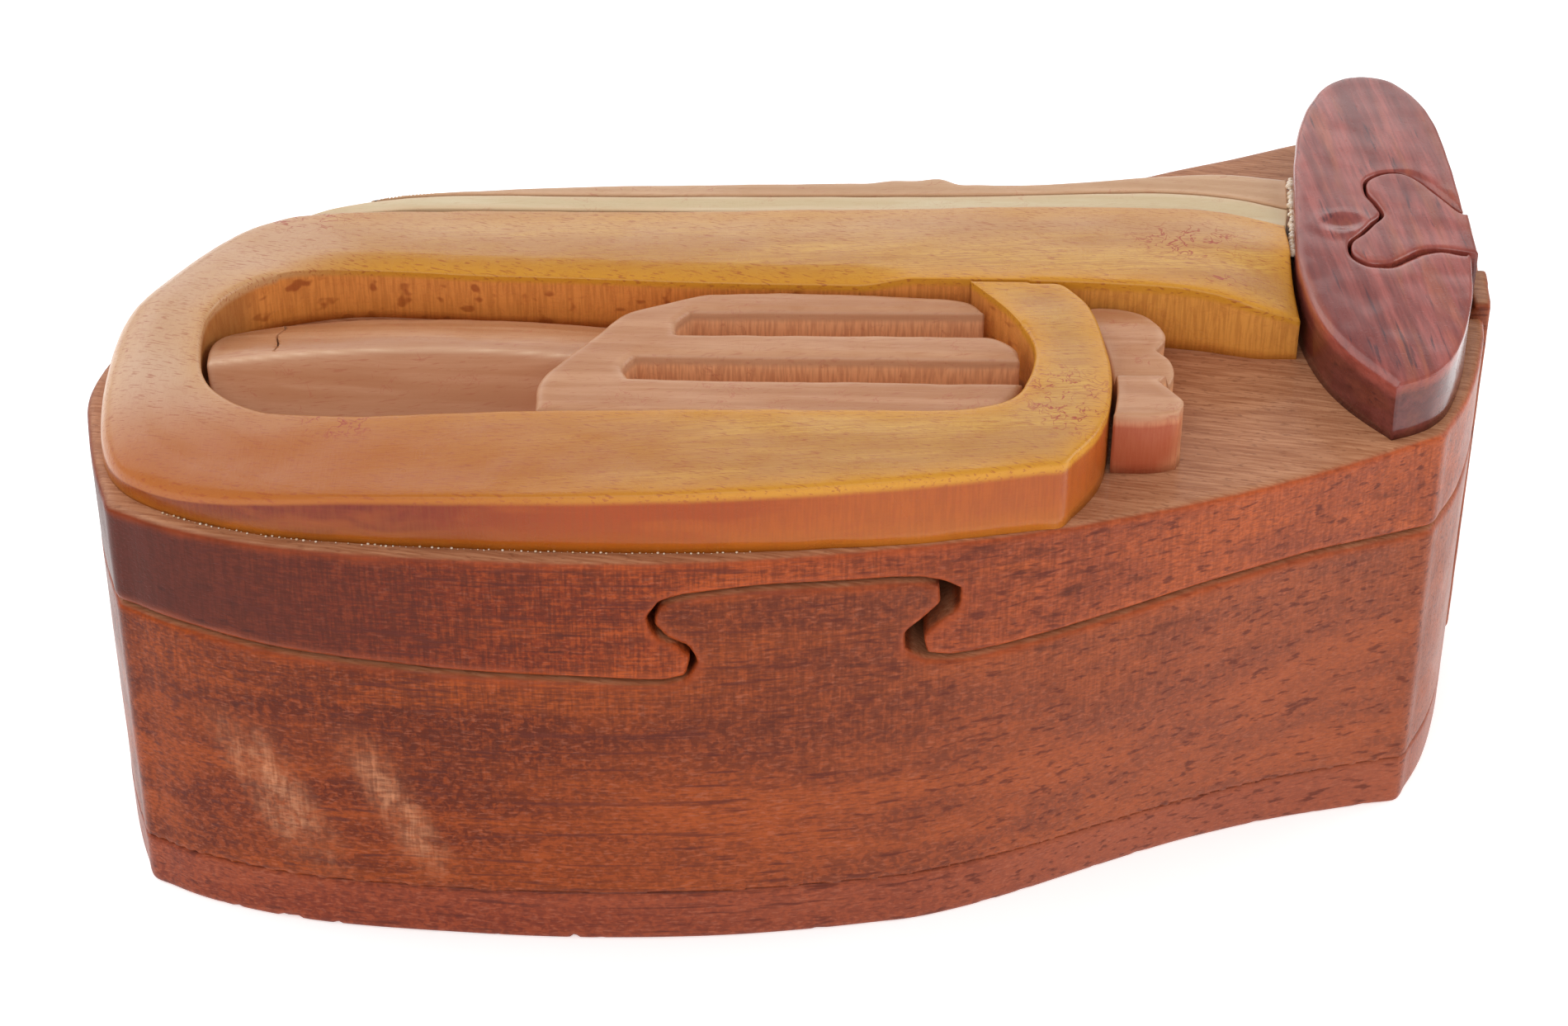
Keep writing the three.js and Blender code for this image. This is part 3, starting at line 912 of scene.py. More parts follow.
stripe = relief("cream_stripe", foot_outline("inlay_stripe"), block_top,
                top_heights("inlay_stripe"), plain_rounding(0.35 * MM, 0.2 * MM))
back_pipe = relief("back_pipe", foot_outline("lead_pipe"), block_top, top_heights("lead_pipe"),
                   pipe_rounding)
inner_pipe = relief("loop_pipe", foot_outline("inner_pipe"), block_top, inner_height,
                    plain_rounding(0.5 * MM, 0.4 * MM), field_step=0.5 * MM)
crack_y = np.linspace(*CRACK_REACH, 21)
crack_line = np.column_stack([CRACK_X + 0.25 * MM * np.sin(crack_y / MM), crack_y])
crack_sides = [crack_line - (CRACK_WIDTH / 2, 0), (crack_line + (CRACK_WIDTH / 2, 0))[::-1]]
crack = prism("crack", np.vstack(crack_sides), pipe_high - CRACK_FLOOR, block_top + ABOVE_ALL)
combined(inner_pipe, crack, "DIFFERENCE")
pipe_points = places(inner_pipe.data)
past_ridge = pipe_points[:, 1] - (RIDGE_Y - RIDGE_BEND * (pipe_points[:, 0] - RIDGE_X) ** 2)
# Masks for the painted highlight along the ridge and the painted shade on the near face.
note(inner_pipe.data, "ridge", np.exp(-np.abs(past_ridge) / RIDGE_LINE))
note(inner_pipe.data, "near_face_shade", smooth_step(-past_ridge, 0, RIDGE_LINE))
print("inner pipe:", len(inner_pipe.data.polygons), "faces")

# %% Valves
comb = relief("valve_comb", foot_outline("valve_block"), block_top, top_heights("valve_block"),
              plain_rounding(1.0 * MM, 0.8 * MM))
FRONT_LOBE_BACK = -20.6 * MM
LOBE_STEP = 1.7 * MM
LOBE_DOME = 0.04
lobe_low, lobe_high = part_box("valve_ends")


def lobe_height(points):
    """The front lobe stands higher, with a top that falls back. The two others are low domes."""
    y = points[:, 1]
    front = lobe_high.z - 0.05 * (y - lobe_low.y)
    back_middle = (FRONT_LOBE_BACK + lobe_high.y) / 2
    back = lobe_high.z - LOBE_STEP - LOBE_DOME * (y - back_middle) ** 2 / (4 * MM)
    share = smooth_step(y, FRONT_LOBE_BACK - 0.3 * MM, FRONT_LOBE_BACK + 0.3 * MM)
    return front * (1 - share) + back * share


lobes = relief("valve_lobes", foot_outline("valve_ends"), block_top, lobe_height,
               plain_rounding(0.5 * MM, 0.35 * MM), field_step=0.5 * MM)
print("comb:", len(comb.data.polygons), "faces, lobes:", len(lobes.data.polygons), "faces")

# %% [markdown]
# ## Node trees in plain words
#
# Every finish and every Geometry Nodes tree below is a handful of nodes. They could be wired one
# line at a time, but then the recipe drowns in the wiring. A small class wraps a tree and gives its
# most used nodes short names, so that a finish reads as what is laid over what.

# %% A tree with short names
def paint(red, green, blue):
    """A colour as a paint chart gives it, 0 to 255, in the linear values that sockets take."""
    levels = [level / 255 for level in (red, green, blue)]
    linear = [v / 12.92 if v <= 0.04045 else ((v + 0.055) / 1.055) ** 2.4 for v in levels]
    return (*linear, 1.0)


class Nodes:
    """Wraps a node tree. Each word adds a node and hands back its output."""

    def __init__(self, tree):
        self.tree = tree

    def add(self, kind, inputs=None, **settings):
        """Adds a node. A socket among its inputs makes a link, and anything else sets a value."""
        node = self.tree.nodes.new(kind)
        for name, value in settings.items():
            setattr(node, name, value)
        for name, value in (inputs or {}).items():
            if isinstance(value, bpy.types.NodeSocket):
                self.tree.links.new(value, node.inputs[name])
            else:
                node.inputs[name].default_value = value
        return node

    def maths(self, operation, a, b=0.0):
        return self.add("ShaderNodeMath", {0: a, 1: b}, operation=operation).outputs[0]

    def times(self, a, b):
        return self.maths("MULTIPLY", a, b)

    def plus(self, a, b):
        return self.maths("ADD", a, b)

    def less(self, a, b):
        return self.maths("SUBTRACT", a, b)

    def vector(self, operation, a, b):
        return self.add("ShaderNodeVectorMath", {0: a, 1: b}, operation=operation).outputs[0]

    def scaled(self, place, scale):
        inputs = {0: place, "Scale": scale}
        return self.add("ShaderNodeVectorMath", inputs, operation="SCALE").outputs[0]

    def size(self, x, y, z):
        return self.add("ShaderNodeCombineXYZ", {"X": x, "Y": y, "Z": z}).outputs[0]

    def mask(self, value, start, end):
        """Rises softly from 0 at start to 1 at end. It falls where end is the lower one."""
        steps = {"Value": value, "From Min": start, "From Max": end}
        return self.add("ShaderNodeMapRange", steps, interpolation_type="SMOOTHSTEP").outputs[0]

    def mix(self, share, a, b):
        """Blends two colours. A colour may be a socket or three paint levels."""
        a, b = (paint(*tone) if isinstance(tone, tuple) else tone for tone in (a, b))
        return self.add("ShaderNodeMix", {0: share, 6: a, 7: b}, data_type="RGBA").outputs[2]

    def noise(self, place, size=None, detail=2.0, distortion=0.0, scale=1.0):
        """Smooth noise. A size draws it out by that many millimetres along each axis."""
        if size is not None:
            place = self.vector("DIVIDE", place, size)
        inputs = {"Vector": place, "Scale": scale, "Detail": detail, "Distortion": distortion}
        return self.add("ShaderNodeTexNoise", inputs).outputs[0]

    def group(self, tool, place, **values):
        """Places a shader group with this finish's own values."""
        inputs = {"Place": place, **values}
        return self.add("ShaderNodeGroup", inputs, node_tree=tool.tree).outputs

    def attribute(self, name):
        """A number that was stored at every vertex."""
        return self.add("ShaderNodeAttribute", attribute_name=name).outputs["Fac"]


# %% [markdown]
# ## Effects that several woods share
#
# Each effect is a shader node group with its own inputs, placed in every finish with that wood's
# values. All of them measure in millimetres on the piece itself. Wood is solid, so the fibres are
# noise drawn out along the grain in three dimensions: they run on over an edge as real ones do.

# %% Group maker
class Group(Nodes):
    """A shader group with a place and some numbers as its inputs."""

    def __init__(self, name, **inputs):
        super().__init__(bpy.data.node_groups.new(name, "ShaderNodeTree"))
        self.socket("Place", "INPUT", "NodeSocketVector")
        for label, value in inputs.items():
            self.socket(label, "INPUT").default_value = value
        self.given = self.tree.nodes.new("NodeGroupInput").outputs
        self.place = self.given["Place"]

    def socket(self, label, way, kind="NodeSocketFloat"):
        return self.tree.interface.new_socket(label, in_out=way, socket_type=kind)

    def give(self, **results):
        """Ends the group with its named outputs."""
        for label in results:
            self.socket(label, "OUTPUT")
        sink = self.tree.nodes.new("NodeGroupOutput")
        for label, result in results.items():
            self.tree.links.new(result, sink.inputs[label])
        print("group", self.tree.name, "gives", ", ".join(results))


# %% Fibres and growth bands
BAND_STRETCH = 7.0
PORE_STRETCH = 0.22
fibre_group = g = Group("wood_fibres", Length=6.0, Width=0.3, Band=5.0)
width = g.given["Width"]
band = g.given["Band"]
fibres = g.noise(g.place, g.size(g.given["Length"], width, width), 4.0)
band_length = g.times(g.given["Length"], BAND_STRETCH)
bands = g.noise(g.place, g.size(band_length, band, band), 3.0, 0.5)
pore_length = g.times(g.given["Length"], PORE_STRETCH)
pores = g.noise(g.place, g.size(pore_length, width, width), 1.0)
g.give(
    Fibres=g.mask(fibres, 0.32, 0.68), Bands=g.mask(bands, 0.36, 0.64), Pores=g.mask(pores, 0.6, 0.72)
)

# %% Linen look, where fine rays cross the grain
linen_group = g = Group("linen_rays", Thread=0.3, Run=3.0)
thread = g.given["Thread"]
run = g.given["Run"]
rays = g.noise(g.place, g.size(thread, run, run))
threads = g.noise(g.place, g.size(run, thread, thread))
g.give(Rays=g.mask(rays, 0.35, 0.65), Cloth=g.mask(g.plus(rays, threads), 0.78, 1.22))

# %% Worn edges
wear_group = g = Group("worn_edges", Patch=4.0, Amount=0.5)
patch = g.given["Patch"]
patchy = g.noise(g.place, g.size(patch, patch, patch), 3.0)
worn = g.times(g.attribute("edge"), g.plus(patchy, 0.35))
g.give(Wear=g.times(g.mask(worn, 0.25, 0.75), g.given["Amount"]))

# %% Lacquer skin, with orange peel, brush smears and specks of dust
lacquer_group = g = Group("lacquer_skin", Peel=0.5, Dust=0.5, Gloss=0.3)
peel = g.noise(g.place, scale=0.7)
dust = g.mask(g.noise(g.place, detail=0.0, scale=2.6), 0.72, 0.8)
smear = g.noise(g.place, detail=3.0, distortion=0.8, scale=0.09)
dull = g.plus(g.given["Gloss"], g.times(g.less(smear, 0.5), 0.35))
g.give(
    Roughness=g.plus(dull, g.times(dust, 0.2)),
    Height=g.plus(g.times(peel, g.given["Peel"]), g.times(dust, g.given["Dust"])),
)

# %% Curly flecks of red dye
fleck_group = g = Group("dye_flecks", Curl=2.0, Thin=0.02, Patch=6.0, Amount=0.4)
curl = g.given["Curl"]
patch = g.given["Patch"]
curled = g.noise(g.place, g.size(curl, curl, curl), 2.0, 0.6)
patchy = g.noise(g.place, g.size(patch, patch, patch))
off_line = g.maths("ABSOLUTE", g.less(curled, 0.5))
patch_start = g.less(1.0, g.given["Amount"])
in_patch = g.mask(patchy, patch_start, g.plus(patch_start, 0.08))
g.give(Flecks=g.times(g.mask(off_line, g.given["Thin"], 0.0), in_patch))


# %% [markdown]
# ## Starting a finish
#
# A finish is a material with one Principled shader. The values that are the same all over, such as
# how much coat lies on the wood, are set straight on that shader. What changes over the surface is
# linked to it. A finish keeps its colour so far, and each layer is laid over that by a share. Every
# wood ends the same way: its fibres and its lacquer make the bump.

# %% Finish maker
PER_METRE = 1000.0
WOOD_BUMP = 0.3
WOOD_RELIEF = 0.08 * MM


class Finish(Nodes):
    """A material in the making. Its place is the place on the piece in millimetres."""

    def __init__(self, name, specular, coat, coat_roughness, **more):
        self.material = bpy.data.materials.new(name)
        self.material.use_nodes = True
        super().__init__(self.material.node_tree)
        self.shader = self.tree.nodes["Principled BSDF"]
        constants = {"Specular IOR Level": specular, "Coat Weight": coat}
        constants["Coat Roughness"] = coat_roughness
        for label, value in {**constants, **more}.items():
            self.shader.inputs[label.replace("_", " ")].default_value = value
        metres = self.add("ShaderNodeTexCoord").outputs["Object"]
        self.place = self.scaled(metres, PER_METRE)
        self.colour = None

    def axes(self):
        return self.add("ShaderNodeSeparateXYZ", {0: self.place}).outputs

    def turned(self, degrees):
        """The places with the grain turned round Z."""
        angles = (0.0, 0.0, math.radians(degrees))
        return self.add("ShaderNodeMapping", {"Vector": self.place, "Rotation": angles}).outputs[0]

    def spot(self, centre, radii):
        """A soft round mask, 1 at a centre in millimetres and 0 outside its radii."""
        away = self.vector("DIVIDE", self.vector("SUBTRACT", self.place, centre), radii)
        far = self.add("ShaderNodeVectorMath", {0: away}, operation="LENGTH").outputs["Value"]
        return self.mask(far, 1.0, 0.35)

    def lay(self, tone, share, amount=None):
        """Lays a tone over the colour so far, where the share says and as much as the amount."""
        if amount is not None:
            share = self.times(share, amount)
        self.colour = self.mix(share, self.colour, tone)

    def shade(self, roughness, height, strength, relief):
        """Links the colour, the roughness and the bump. Returns the finished material."""
        inputs = {"Height": height, "Strength": strength, "Distance": relief}
        bump = self.add("ShaderNodeBump", inputs)
        self.tree.links.new(self.colour, self.shader.inputs["Base Color"])
        self.tree.links.new(roughness, self.shader.inputs["Roughness"])
        self.tree.links.new(bump.outputs["Normal"], self.shader.inputs["Normal"])
        return self.material

    def lacquer(self, relief, peel, dust, gloss):
        """Ends a wood with its own relief under a skin of lacquer."""
        skin = self.group(lacquer_group, self.place, Peel=peel, Dust=dust, Gloss=gloss)
        height = self.plus(relief, skin["Height"])
        return self.shade(skin["Roughness"], height, WOOD_BUMP, WOOD_RELIEF)


# %% [markdown]
# ## Mahogany
#
# The base, its floor board, the lid and the key are one dark red-brown wood. Its walls have a
# linen look where fine rays cross the grain, short dark streaks near the saw cut, and two slanted
# light bands at the left of the base where the grain dips, their shimmer painted in as a sheen.
# The top of the lid was sanded last and is lighter, partly from the sanding and partly as painted
# light on the faces that look up. Base and lid share one function with different values, so they
# match where they meet.

# %% Mahogany's tones and places
TOP_TAN = (196, 140, 104)
TOP_TAN_DARK = (158, 100, 68)
TOP_PORE = (120, 70, 46)
EDGE_ORANGE = (186, 84, 40)
PALE_END = (172, 100, 74)
DARK_END = (88, 36, 26)
CLOTH_DARK = (78, 32, 20)
STREAK_DARK = (62, 26, 20)
BAND_SHEEN_GOLD = (216, 148, 108)
LIGHT_BANDS = ((-60.2, 5.8), (-46.5, 4.2))
BAND_SLANT = 0.45
BAND_HEIGHT = 19.0
BAND_REACH = 13.0
LINE_SIZE = (38.0, 0.7, 0.7)
STREAK_SIZE = (9.0, 1.3, 1.3)
SPECK_SIZE = (1.1, 0.4, 0.28)
BREAK_SIZE = (2.6, 1.0, 3.4)


def dipped_grain_sheen(f, cloth):
    """The two slanted light bands where the grain dips, broken up by the grain, as one mask. Their
    shimmer is a painted sheen.
    """
    axes = f.axes()
    above = f.less(axes["Z"], BAND_HEIGHT)
    leaning = f.plus(axes["X"], f.times(above, BAND_SLANT))
    in_front = f.mask(axes["Y"], -20.0, -30.0)
    bands = [
        f.mask(f.maths("ABSOLUTE", f.less(leaning, middle)), half_width, 0.0)
        for middle, half_width in LIGHT_BANDS
    ]
    upright = f.mask(f.maths("ABSOLUTE", above), BAND_REACH, 2.0)
    band = f.times(f.times(f.plus(*bands), upright), in_front)
    broken = f.mask(f.noise(f.place, BREAK_SIZE, 4.0, 0.8), 0.36, 0.62)
    shimmer = f.times(band, f.plus(f.times(cloth, 0.2), 0.14))
    return f.times(shimmer, f.plus(f.times(broken, 1.3), 0.55))


def sanded_and_lit_top(f):
    """The tan of the lid's sanded top, lighter partly from the sanding and partly as painted light on
    faces that look up, with its fibres turned a little off the walls' grain.
    """
    sanded = f.group(fibre_group, f.turned(11.0), Length=5.0, Width=0.34, Band=3.0)
    tan = f.mix(f.times(sanded["Fibres"], 0.85), TOP_TAN, TOP_TAN_DARK)
    tan = f.mix(f.times(sanded["Bands"], 0.3), tan, TOP_TAN_DARK)
    return f.mix(f.times(sanded["Pores"], 0.45), tan, TOP_PORE)


# %% Mahogany
def mahogany(name, light, dark, cloth_share, streak_share, left_share, with_bands=False):
    f = Finish(name, specular=0.1, coat=0.09, coat_roughness=0.14)
    grain = f.group(fibre_group, f.place, Length=7.0, Width=0.28, Band=6.0)
    linen = f.group(linen_group, f.place, Thread=0.32, Run=3.4)
    axes = f.axes()
    f.colour = f.mix(grain["Bands"], dark, light)
    f.lay(dark, grain["Fibres"], 0.6)
    mottled = f.noise(f.place, detail=4.0, distortion=0.6, scale=1.3)
    f.lay(f.mix(0.45, light, EDGE_ORANGE), f.mask(mottled, 0.42, 0.62), 0.45)
    speckled = f.noise(f.place, SPECK_SIZE, 2.0, 0.3)
    f.lay(DARK_END, f.mask(speckled, 0.52, 0.7), 0.5)
    f.lay(PALE_END, f.mask(speckled, 0.46, 0.3), 0.42)
    rightward = f.mask(axes["X"], -45.0, 60.0)
    f.lay(PALE_END, rightward, 0.4)
    f.lay(DARK_END, f.mask(axes["X"], -10.0, -78.0), left_share)

    wide = f.noise(f.place, detail=2.0, distortion=0.5, scale=0.045)
    cloth_here = f.mask(f.plus(f.times(axes["Z"], 0.02), wide), 0.7, 1.3)
    calmer = f.less(1.0, f.times(rightward, 0.5))
    cloth_here = f.times(cloth_here, f.times(calmer, cloth_share))
    f.lay(CLOTH_DARK, cloth_here, f.less(1.0, linen["Cloth"]))
    f.lay(DARK_END, f.mask(f.noise(f.place, LINE_SIZE, 2.0, 0.2), 0.56, 0.7), 0.7)
    streaks = f.mask(f.noise(f.place, STREAK_SIZE, 4.0, 0.3), 0.53, 0.72)
    streak_patch = f.mask(f.noise(f.place, detail=1.0, scale=0.05), 0.42, 0.62)
    near_cut = f.times(f.mask(axes["Z"], 22.0, 40.0), calmer)
    f.lay(STREAK_DARK, f.times(f.times(streaks, streak_patch), near_cut), streak_share)
    # Painted sheen: the shimmer of the two bands where the grain dips.
    if with_bands:
        f.lay(BAND_SHEEN_GOLD, dipped_grain_sheen(f, linen["Cloth"]))

    wear = f.group(wear_group, f.place, Patch=5.0, Amount=0.38)
    f.lay(EDGE_ORANGE, wear["Wear"])
    # Faces that look up take the tan top: partly the sanded wood, partly painted light from above.
    f.lay(sanded_and_lit_top(f), f.mask(f.attribute("upward"), 0.55, 0.95))
    relief = f.times(f.plus(grain["Fibres"], linen["Rays"]), 0.35)
    return f.lacquer(f.less(relief, grain["Pores"]), peel=0.35, dust=0.3, gloss=0.36)


base_wood = mahogany("mahogany_base", (160, 72, 20), (98, 35, 8), 0.6, 0.7, 0.1, with_bands=True)
floor_wood = mahogany("mahogany_floor", (146, 70, 44), (122, 50, 30), 0.25, 0.0, 0.0)
lid_wood = mahogany("mahogany_lid", (196, 88, 22), (128, 46, 12), 0.7, 0.95, 1.0)
key_wood = mahogany("mahogany_key", (154, 88, 56), (118, 60, 38), 0.3, 0.1, 0.0)
mahoganies = (base_wood, floor_wood, lid_wood, key_wood)
print("finishes:", ", ".join(wood.name for wood in mahoganies))

# %% [markdown]
# ## Rosewood
#
# The bell and the key's head are one piece of dark red rosewood with its grain from front to back.
# Nearly black streaks run through it, and its lacquer is the glossiest on the box. Its walls are
# painted darker, as painted shade.

# %% Rosewood
ACROSS = 84.0


def rosewood(name):
    f = Finish(name, specular=0.35, coat=0.4, coat_roughness=0.14)
    along = f.turned(ACROSS)
    grain = f.group(fibre_group, along, Length=5.0, Width=0.45, Band=2.2)
    f.colour = f.mix(grain["Bands"], (126, 54, 48), (168, 86, 78))
    f.lay((172, 92, 62), f.mask(f.noise(along, (26.0, 3.0, 3.0), 2.0, 0.6), 0.5, 0.68), 0.55)
    f.lay((92, 36, 36), grain["Fibres"], 0.4)
    f.lay((66, 28, 38), f.mask(f.noise(along, (9.0, 0.8, 0.8), 3.0, 0.4), 0.6, 0.72), 0.75)
    # Painted shade: the walls of the bell and the key head are darkened.
    f.lay((72, 26, 20), f.attribute("wall"), 0.7)
    wear = f.group(wear_group, f.place, Patch=3.0, Amount=0.35)
    f.lay((160, 78, 62), wear["Wear"])
    relief = f.times(f.less(grain["Fibres"], grain["Pores"]), 0.3)
    return f.lacquer(relief, peel=0.6, dust=0.3, gloss=0.26)


bell_wood = rosewood("rosewood")
print("finish:", bell_wood.name)

# %% [markdown]
# ## Yellow wood
#
# The horn's top is ochre with short reddish fibre strokes. It turns a clear yellow beside every
# edge, where the dye of the walls thinned out. A pale pinkish tan on the rounded bow and along the
# far branch is a painted sheen. The front wall was brushed with red-orange dye, most at the left.
# Hairs of red dye stayed in the lacquer at the curved end and near the bell, and burn marks spot
# the wall inside the window. The walls inside the window and the throat are painted paler than the
# top, as painted light in their shade.

# %% The horn's top
DYE_SPOTS = (
    ((29.0, -28.0, 62.0), (7.0, 9.0, 9.0)),
    ((45.5, 6.5, 62.0), (9.0, 5.0, 9.0)),
    ((48.7, -1.6, 61.0), (3.0, 2.0, 4.0)),
    ((-52.0, -29.0, 60.0), (6.0, 4.0, 9.0)),
    ((-60.0, 13.0, 61.0), (7.0, 4.0, 9.0)),
)
CLEAR_YELLOW = (206, 142, 44)
BOW_SHEEN_TAN = (202, 162, 132)
LEFT_ORANGE = (172, 92, 28)
RED_HAIR = (160, 52, 38)


def ochre_top(f, grain, axes):
    """Lays the colours of the horn's top, from the plain ochre to the strokes."""
    f.colour = f.mix(grain["Bands"], (186, 132, 60), (206, 156, 74))
    f.lay((172, 106, 56), grain["Fibres"], 0.55)
    bow = f.mask(axes["X"], -44.0, -66.0)
    # Painted sheen: a pale pinkish tan on the bow and along the far branch.
    pale = f.maths("MAXIMUM", bow, f.times(f.mask(axes["Y"], 2.0, 12.0), 0.55))
    wide = f.noise(f.place, detail=2.0, distortion=0.4, scale=0.07)
    f.lay(BOW_SHEEN_TAN, pale, f.plus(wide, 0.35))
    rim = f.mask(f.attribute("rim"), 0.3, 1.0)
    yellow_edge = f.times(rim, f.less(1.0, f.times(bow, 0.7)))
    f.lay(CLEAR_YELLOW, yellow_edge, f.mask(axes["Y"], 16.0, 9.0))
    front_left = f.times(f.mask(axes["Y"], -17.0, -34.0), f.mask(axes["X"], 6.0, -52.0))
    f.lay(LEFT_ORANGE, front_left, 0.9)
    strokes = f.mask(f.noise(f.turned(14.0), (1.3, 0.2, 0.4), 1.0), 0.58, 0.7)
    f.lay((158, 76, 42), strokes, 0.55)


# %% The horn's walls
WALL_REDS = ((108, 20, 6), (160, 64, 10), (170, 82, 28))
WALL_STAIN = (184, 92, 24)
BACK_WALL = (184, 122, 66)
LIT_WINDOW_WALL = (226, 146, 74)
BURN_MARK = (150, 68, 34)
LIT_THROAT_WALL = (224, 156, 74)


def horn_walls(f, axes, rays):
    """The colour of the walls: dyed in front, plain behind, burnt inside the window, and painted paler
    than the top inside the window and the throat, as painted light in their shade.
    """
    left, middle, right = WALL_REDS
    stain = f.mask(f.noise(f.place, (11.0, 6.0, 3.0), 3.0, 0.5), 0.35, 0.68)
    dyed = f.mix(f.mask(axes["X"], -52.0, -20.0), left, middle)
    dyed = f.mix(f.mask(axes["X"], -14.0, 12.0), dyed, right)
    dyed = f.mix(f.times(stain, 0.4), dyed, WALL_STAIN)
    dyed = f.mix(f.mask(axes["Y"], -34.0, -12.0), dyed, BACK_WALL)
    burnt = f.mask(f.noise(f.place, (1.9, 4.0, 1.5), 1.0), 0.6, 0.74)
    # Painted light: the walls inside the window and the throat are paler than the top, against their
    # shade.
    inner = f.mix(f.times(burnt, 0.7), LIT_WINDOW_WALL, BURN_MARK)
    inner = f.mix(f.mask(axes["X"], 20.0, 34.0), inner, LIT_THROAT_WALL)
    is_inner = f.times(f.mask(axes["Y"], -24.0, -14.0), f.mask(axes["X"], -67.0, -63.0))
    is_inner = f.times(is_inner, f.mask(axes["Y"], 10.0, 8.0))
    wall = f.mix(is_inner, dyed, inner)
    wall = f.mix(f.times(rays, 0.3), wall, (140, 66, 24))
    return f.mix(f.times(f.attribute("foot"), 0.5), wall, (206, 132, 40))


# %% Yellow wood
def yellow_wood(name):
    f = Finish(name, specular=0.2, coat=0.25, coat_roughness=0.2)
    axes = f.axes()
    grain = f.group(fibre_group, f.turned(-3.0), Length=4.5, Width=0.24, Band=5.0)
    linen = f.group(linen_group, f.place, Thread=0.3, Run=4.0)
    ochre_top(f, grain, axes)
    f.lay(horn_walls(f, axes, linen["Rays"]), f.mask(f.attribute("wall"), 0.2, 0.8))
    spots = f.spot(*DYE_SPOTS[0])
    for centre, radii in DYE_SPOTS[1:]:
        spots = f.maths("MAXIMUM", spots, f.spot(centre, radii))
    flecks = f.group(fleck_group, f.place, Curl=1.5, Thin=0.04, Patch=2.4, Amount=0.6)
    f.lay(RED_HAIR, flecks["Flecks"], f.plus(f.times(spots, 0.8), 0.12))
    relief = f.times(f.plus(grain["Fibres"], linen["Rays"]), 0.35)
    return f.lacquer(relief, peel=0.5, dust=0.6, gloss=0.3)


horn_wood = yellow_wood("yellow_wood")
print("finish:", horn_wood.name, "with", len(DYE_SPOTS), "spots of dye")

# %% [markdown]
# ## The pale woods
#
# The cream stripe, the tan back pipe and the pinkish inner pipe and valves are plain woods under
# the same satin lacquer. They differ in tone, in how red their fibres are and in the tone of their
# walls, so one function makes all three. The pink wood's walls are painted paler than its top, as
# painted light in the shaded slots, and the inner pipe has painted shade on its near face and a
# painted highlight along its ridge.

# %% Pale woods
DYED_END = ((37.0, -30.0, 58.5), (9.0, 8.0, 9.0))


def pale_wood(name, light, dark, stroke, wall_tone, hairs_share):
    f = Finish(name, specular=0.15, coat=0.2, coat_roughness=0.2)
    grain = f.group(fibre_group, f.turned(2.0), Length=5.0, Width=0.22, Band=2.6)
    linen = f.group(linen_group, f.place, Thread=0.28, Run=3.0)
    f.colour = f.mix(grain["Bands"], dark, light)
    f.lay(dark, grain["Fibres"], 0.35)
    f.lay(stroke, f.mask(f.noise(f.turned(-9.0), (1.8, 0.24, 0.5), 1.0), 0.6, 0.74), 0.45)
    # The walls' tone; for the pink wood it is paler than the top, as painted light in the shaded
    # slots.
    wall = f.mix(f.times(linen["Rays"], 0.35), wall_tone, stroke)
    f.lay(wall, f.mask(f.attribute("wall"), 0.2, 0.9))
    flecks = f.group(fleck_group, f.place, Curl=1.8, Thin=0.02, Patch=3.5, Amount=0.45)
    f.lay((168, 66, 56), flecks["Flecks"], hairs_share)
    wear = f.group(wear_group, f.place, Patch=3.0, Amount=0.25)
    f.lay((226, 182, 150), wear["Wear"])
    f.lay((164, 72, 44), f.times(f.spot(*DYED_END), f.attribute("wall")), 0.9)
    # Painted shade on the inner pipe's near face and a painted highlight along its ridge.
    f.lay((160, 92, 62), f.attribute("near_face_shade"), 0.35)
    f.lay((236, 200, 170), f.attribute("ridge"), 0.6)
    relief = f.times(f.plus(grain["Fibres"], linen["Rays"]), 0.3)
    return f.lacquer(relief, peel=0.4, dust=0.45, gloss=0.36)


PALE_WOODS = {
    "cream_wood": ((212, 194, 160), (200, 176, 136), (190, 156, 118), (178, 148, 116), 0.25),
    "tan_wood": ((202, 162, 126), (186, 142, 104), (172, 112, 80), (150, 108, 90), 0.5),
    # The pink wood's wall tone is paler than its top: painted light in the shade of the slots.
    "pink_wood": ((196, 144, 108), (178, 122, 84), (164, 88, 62), (240, 180, 132), 0.35),
}
cream_wood, tan_wood, pink_wood = (pale_wood(name, *row) for name, row in PALE_WOODS.items())
print("finishes:", ", ".join(PALE_WOODS))

# %% [markdown]
# ## Felt and glue
#
# Felt is a mat of fibres without a weave, so it is matt, with a soft sheen and lumps at two sizes.
# The glue that squeezed out along the horn's foot dried to glassy, off-white beads.

# %% Felt and glue
def felt_finish(name):
    f = Finish(name, 0.15, 0.0, 0.03, Sheen_Weight=0.6, Sheen_Roughness=0.5)
    fuzz = f.noise(f.place, detail=4.0, distortion=1.5, scale=1.8)
    clumps = f.noise(f.place, detail=2.0, distortion=0.3, scale=0.25)
    f.colour = f.mix(f.mask(fuzz, 0.3, 0.7), (74, 22, 26), (112, 42, 44))
    f.lay((92, 30, 34), f.mask(clumps, 0.4, 0.7), 0.4)
    height = f.plus(fuzz, f.times(clumps, 2.0))
    return f.shade(f.plus(f.times(fuzz, 0.15), 0.82), height, 0.8, 0.25 * MM)


def glue_finish(name):
    f = Finish(name, 0.5, 0.5, 0.05)
    cloud = f.noise(f.place, scale=1.5)
    f.colour = f.mix(f.mask(cloud, 0.35, 0.65), (208, 176, 140), (236, 220, 200))
    return f.shade(f.plus(f.times(cloud, 0.2), 0.1), cloud, 0.3, 0.05 * MM)


felt_cloth = felt_finish("red_felt")
dry_glue = glue_finish("dry_glue")
print("finishes:", felt_cloth.name, "and", dry_glue.name)

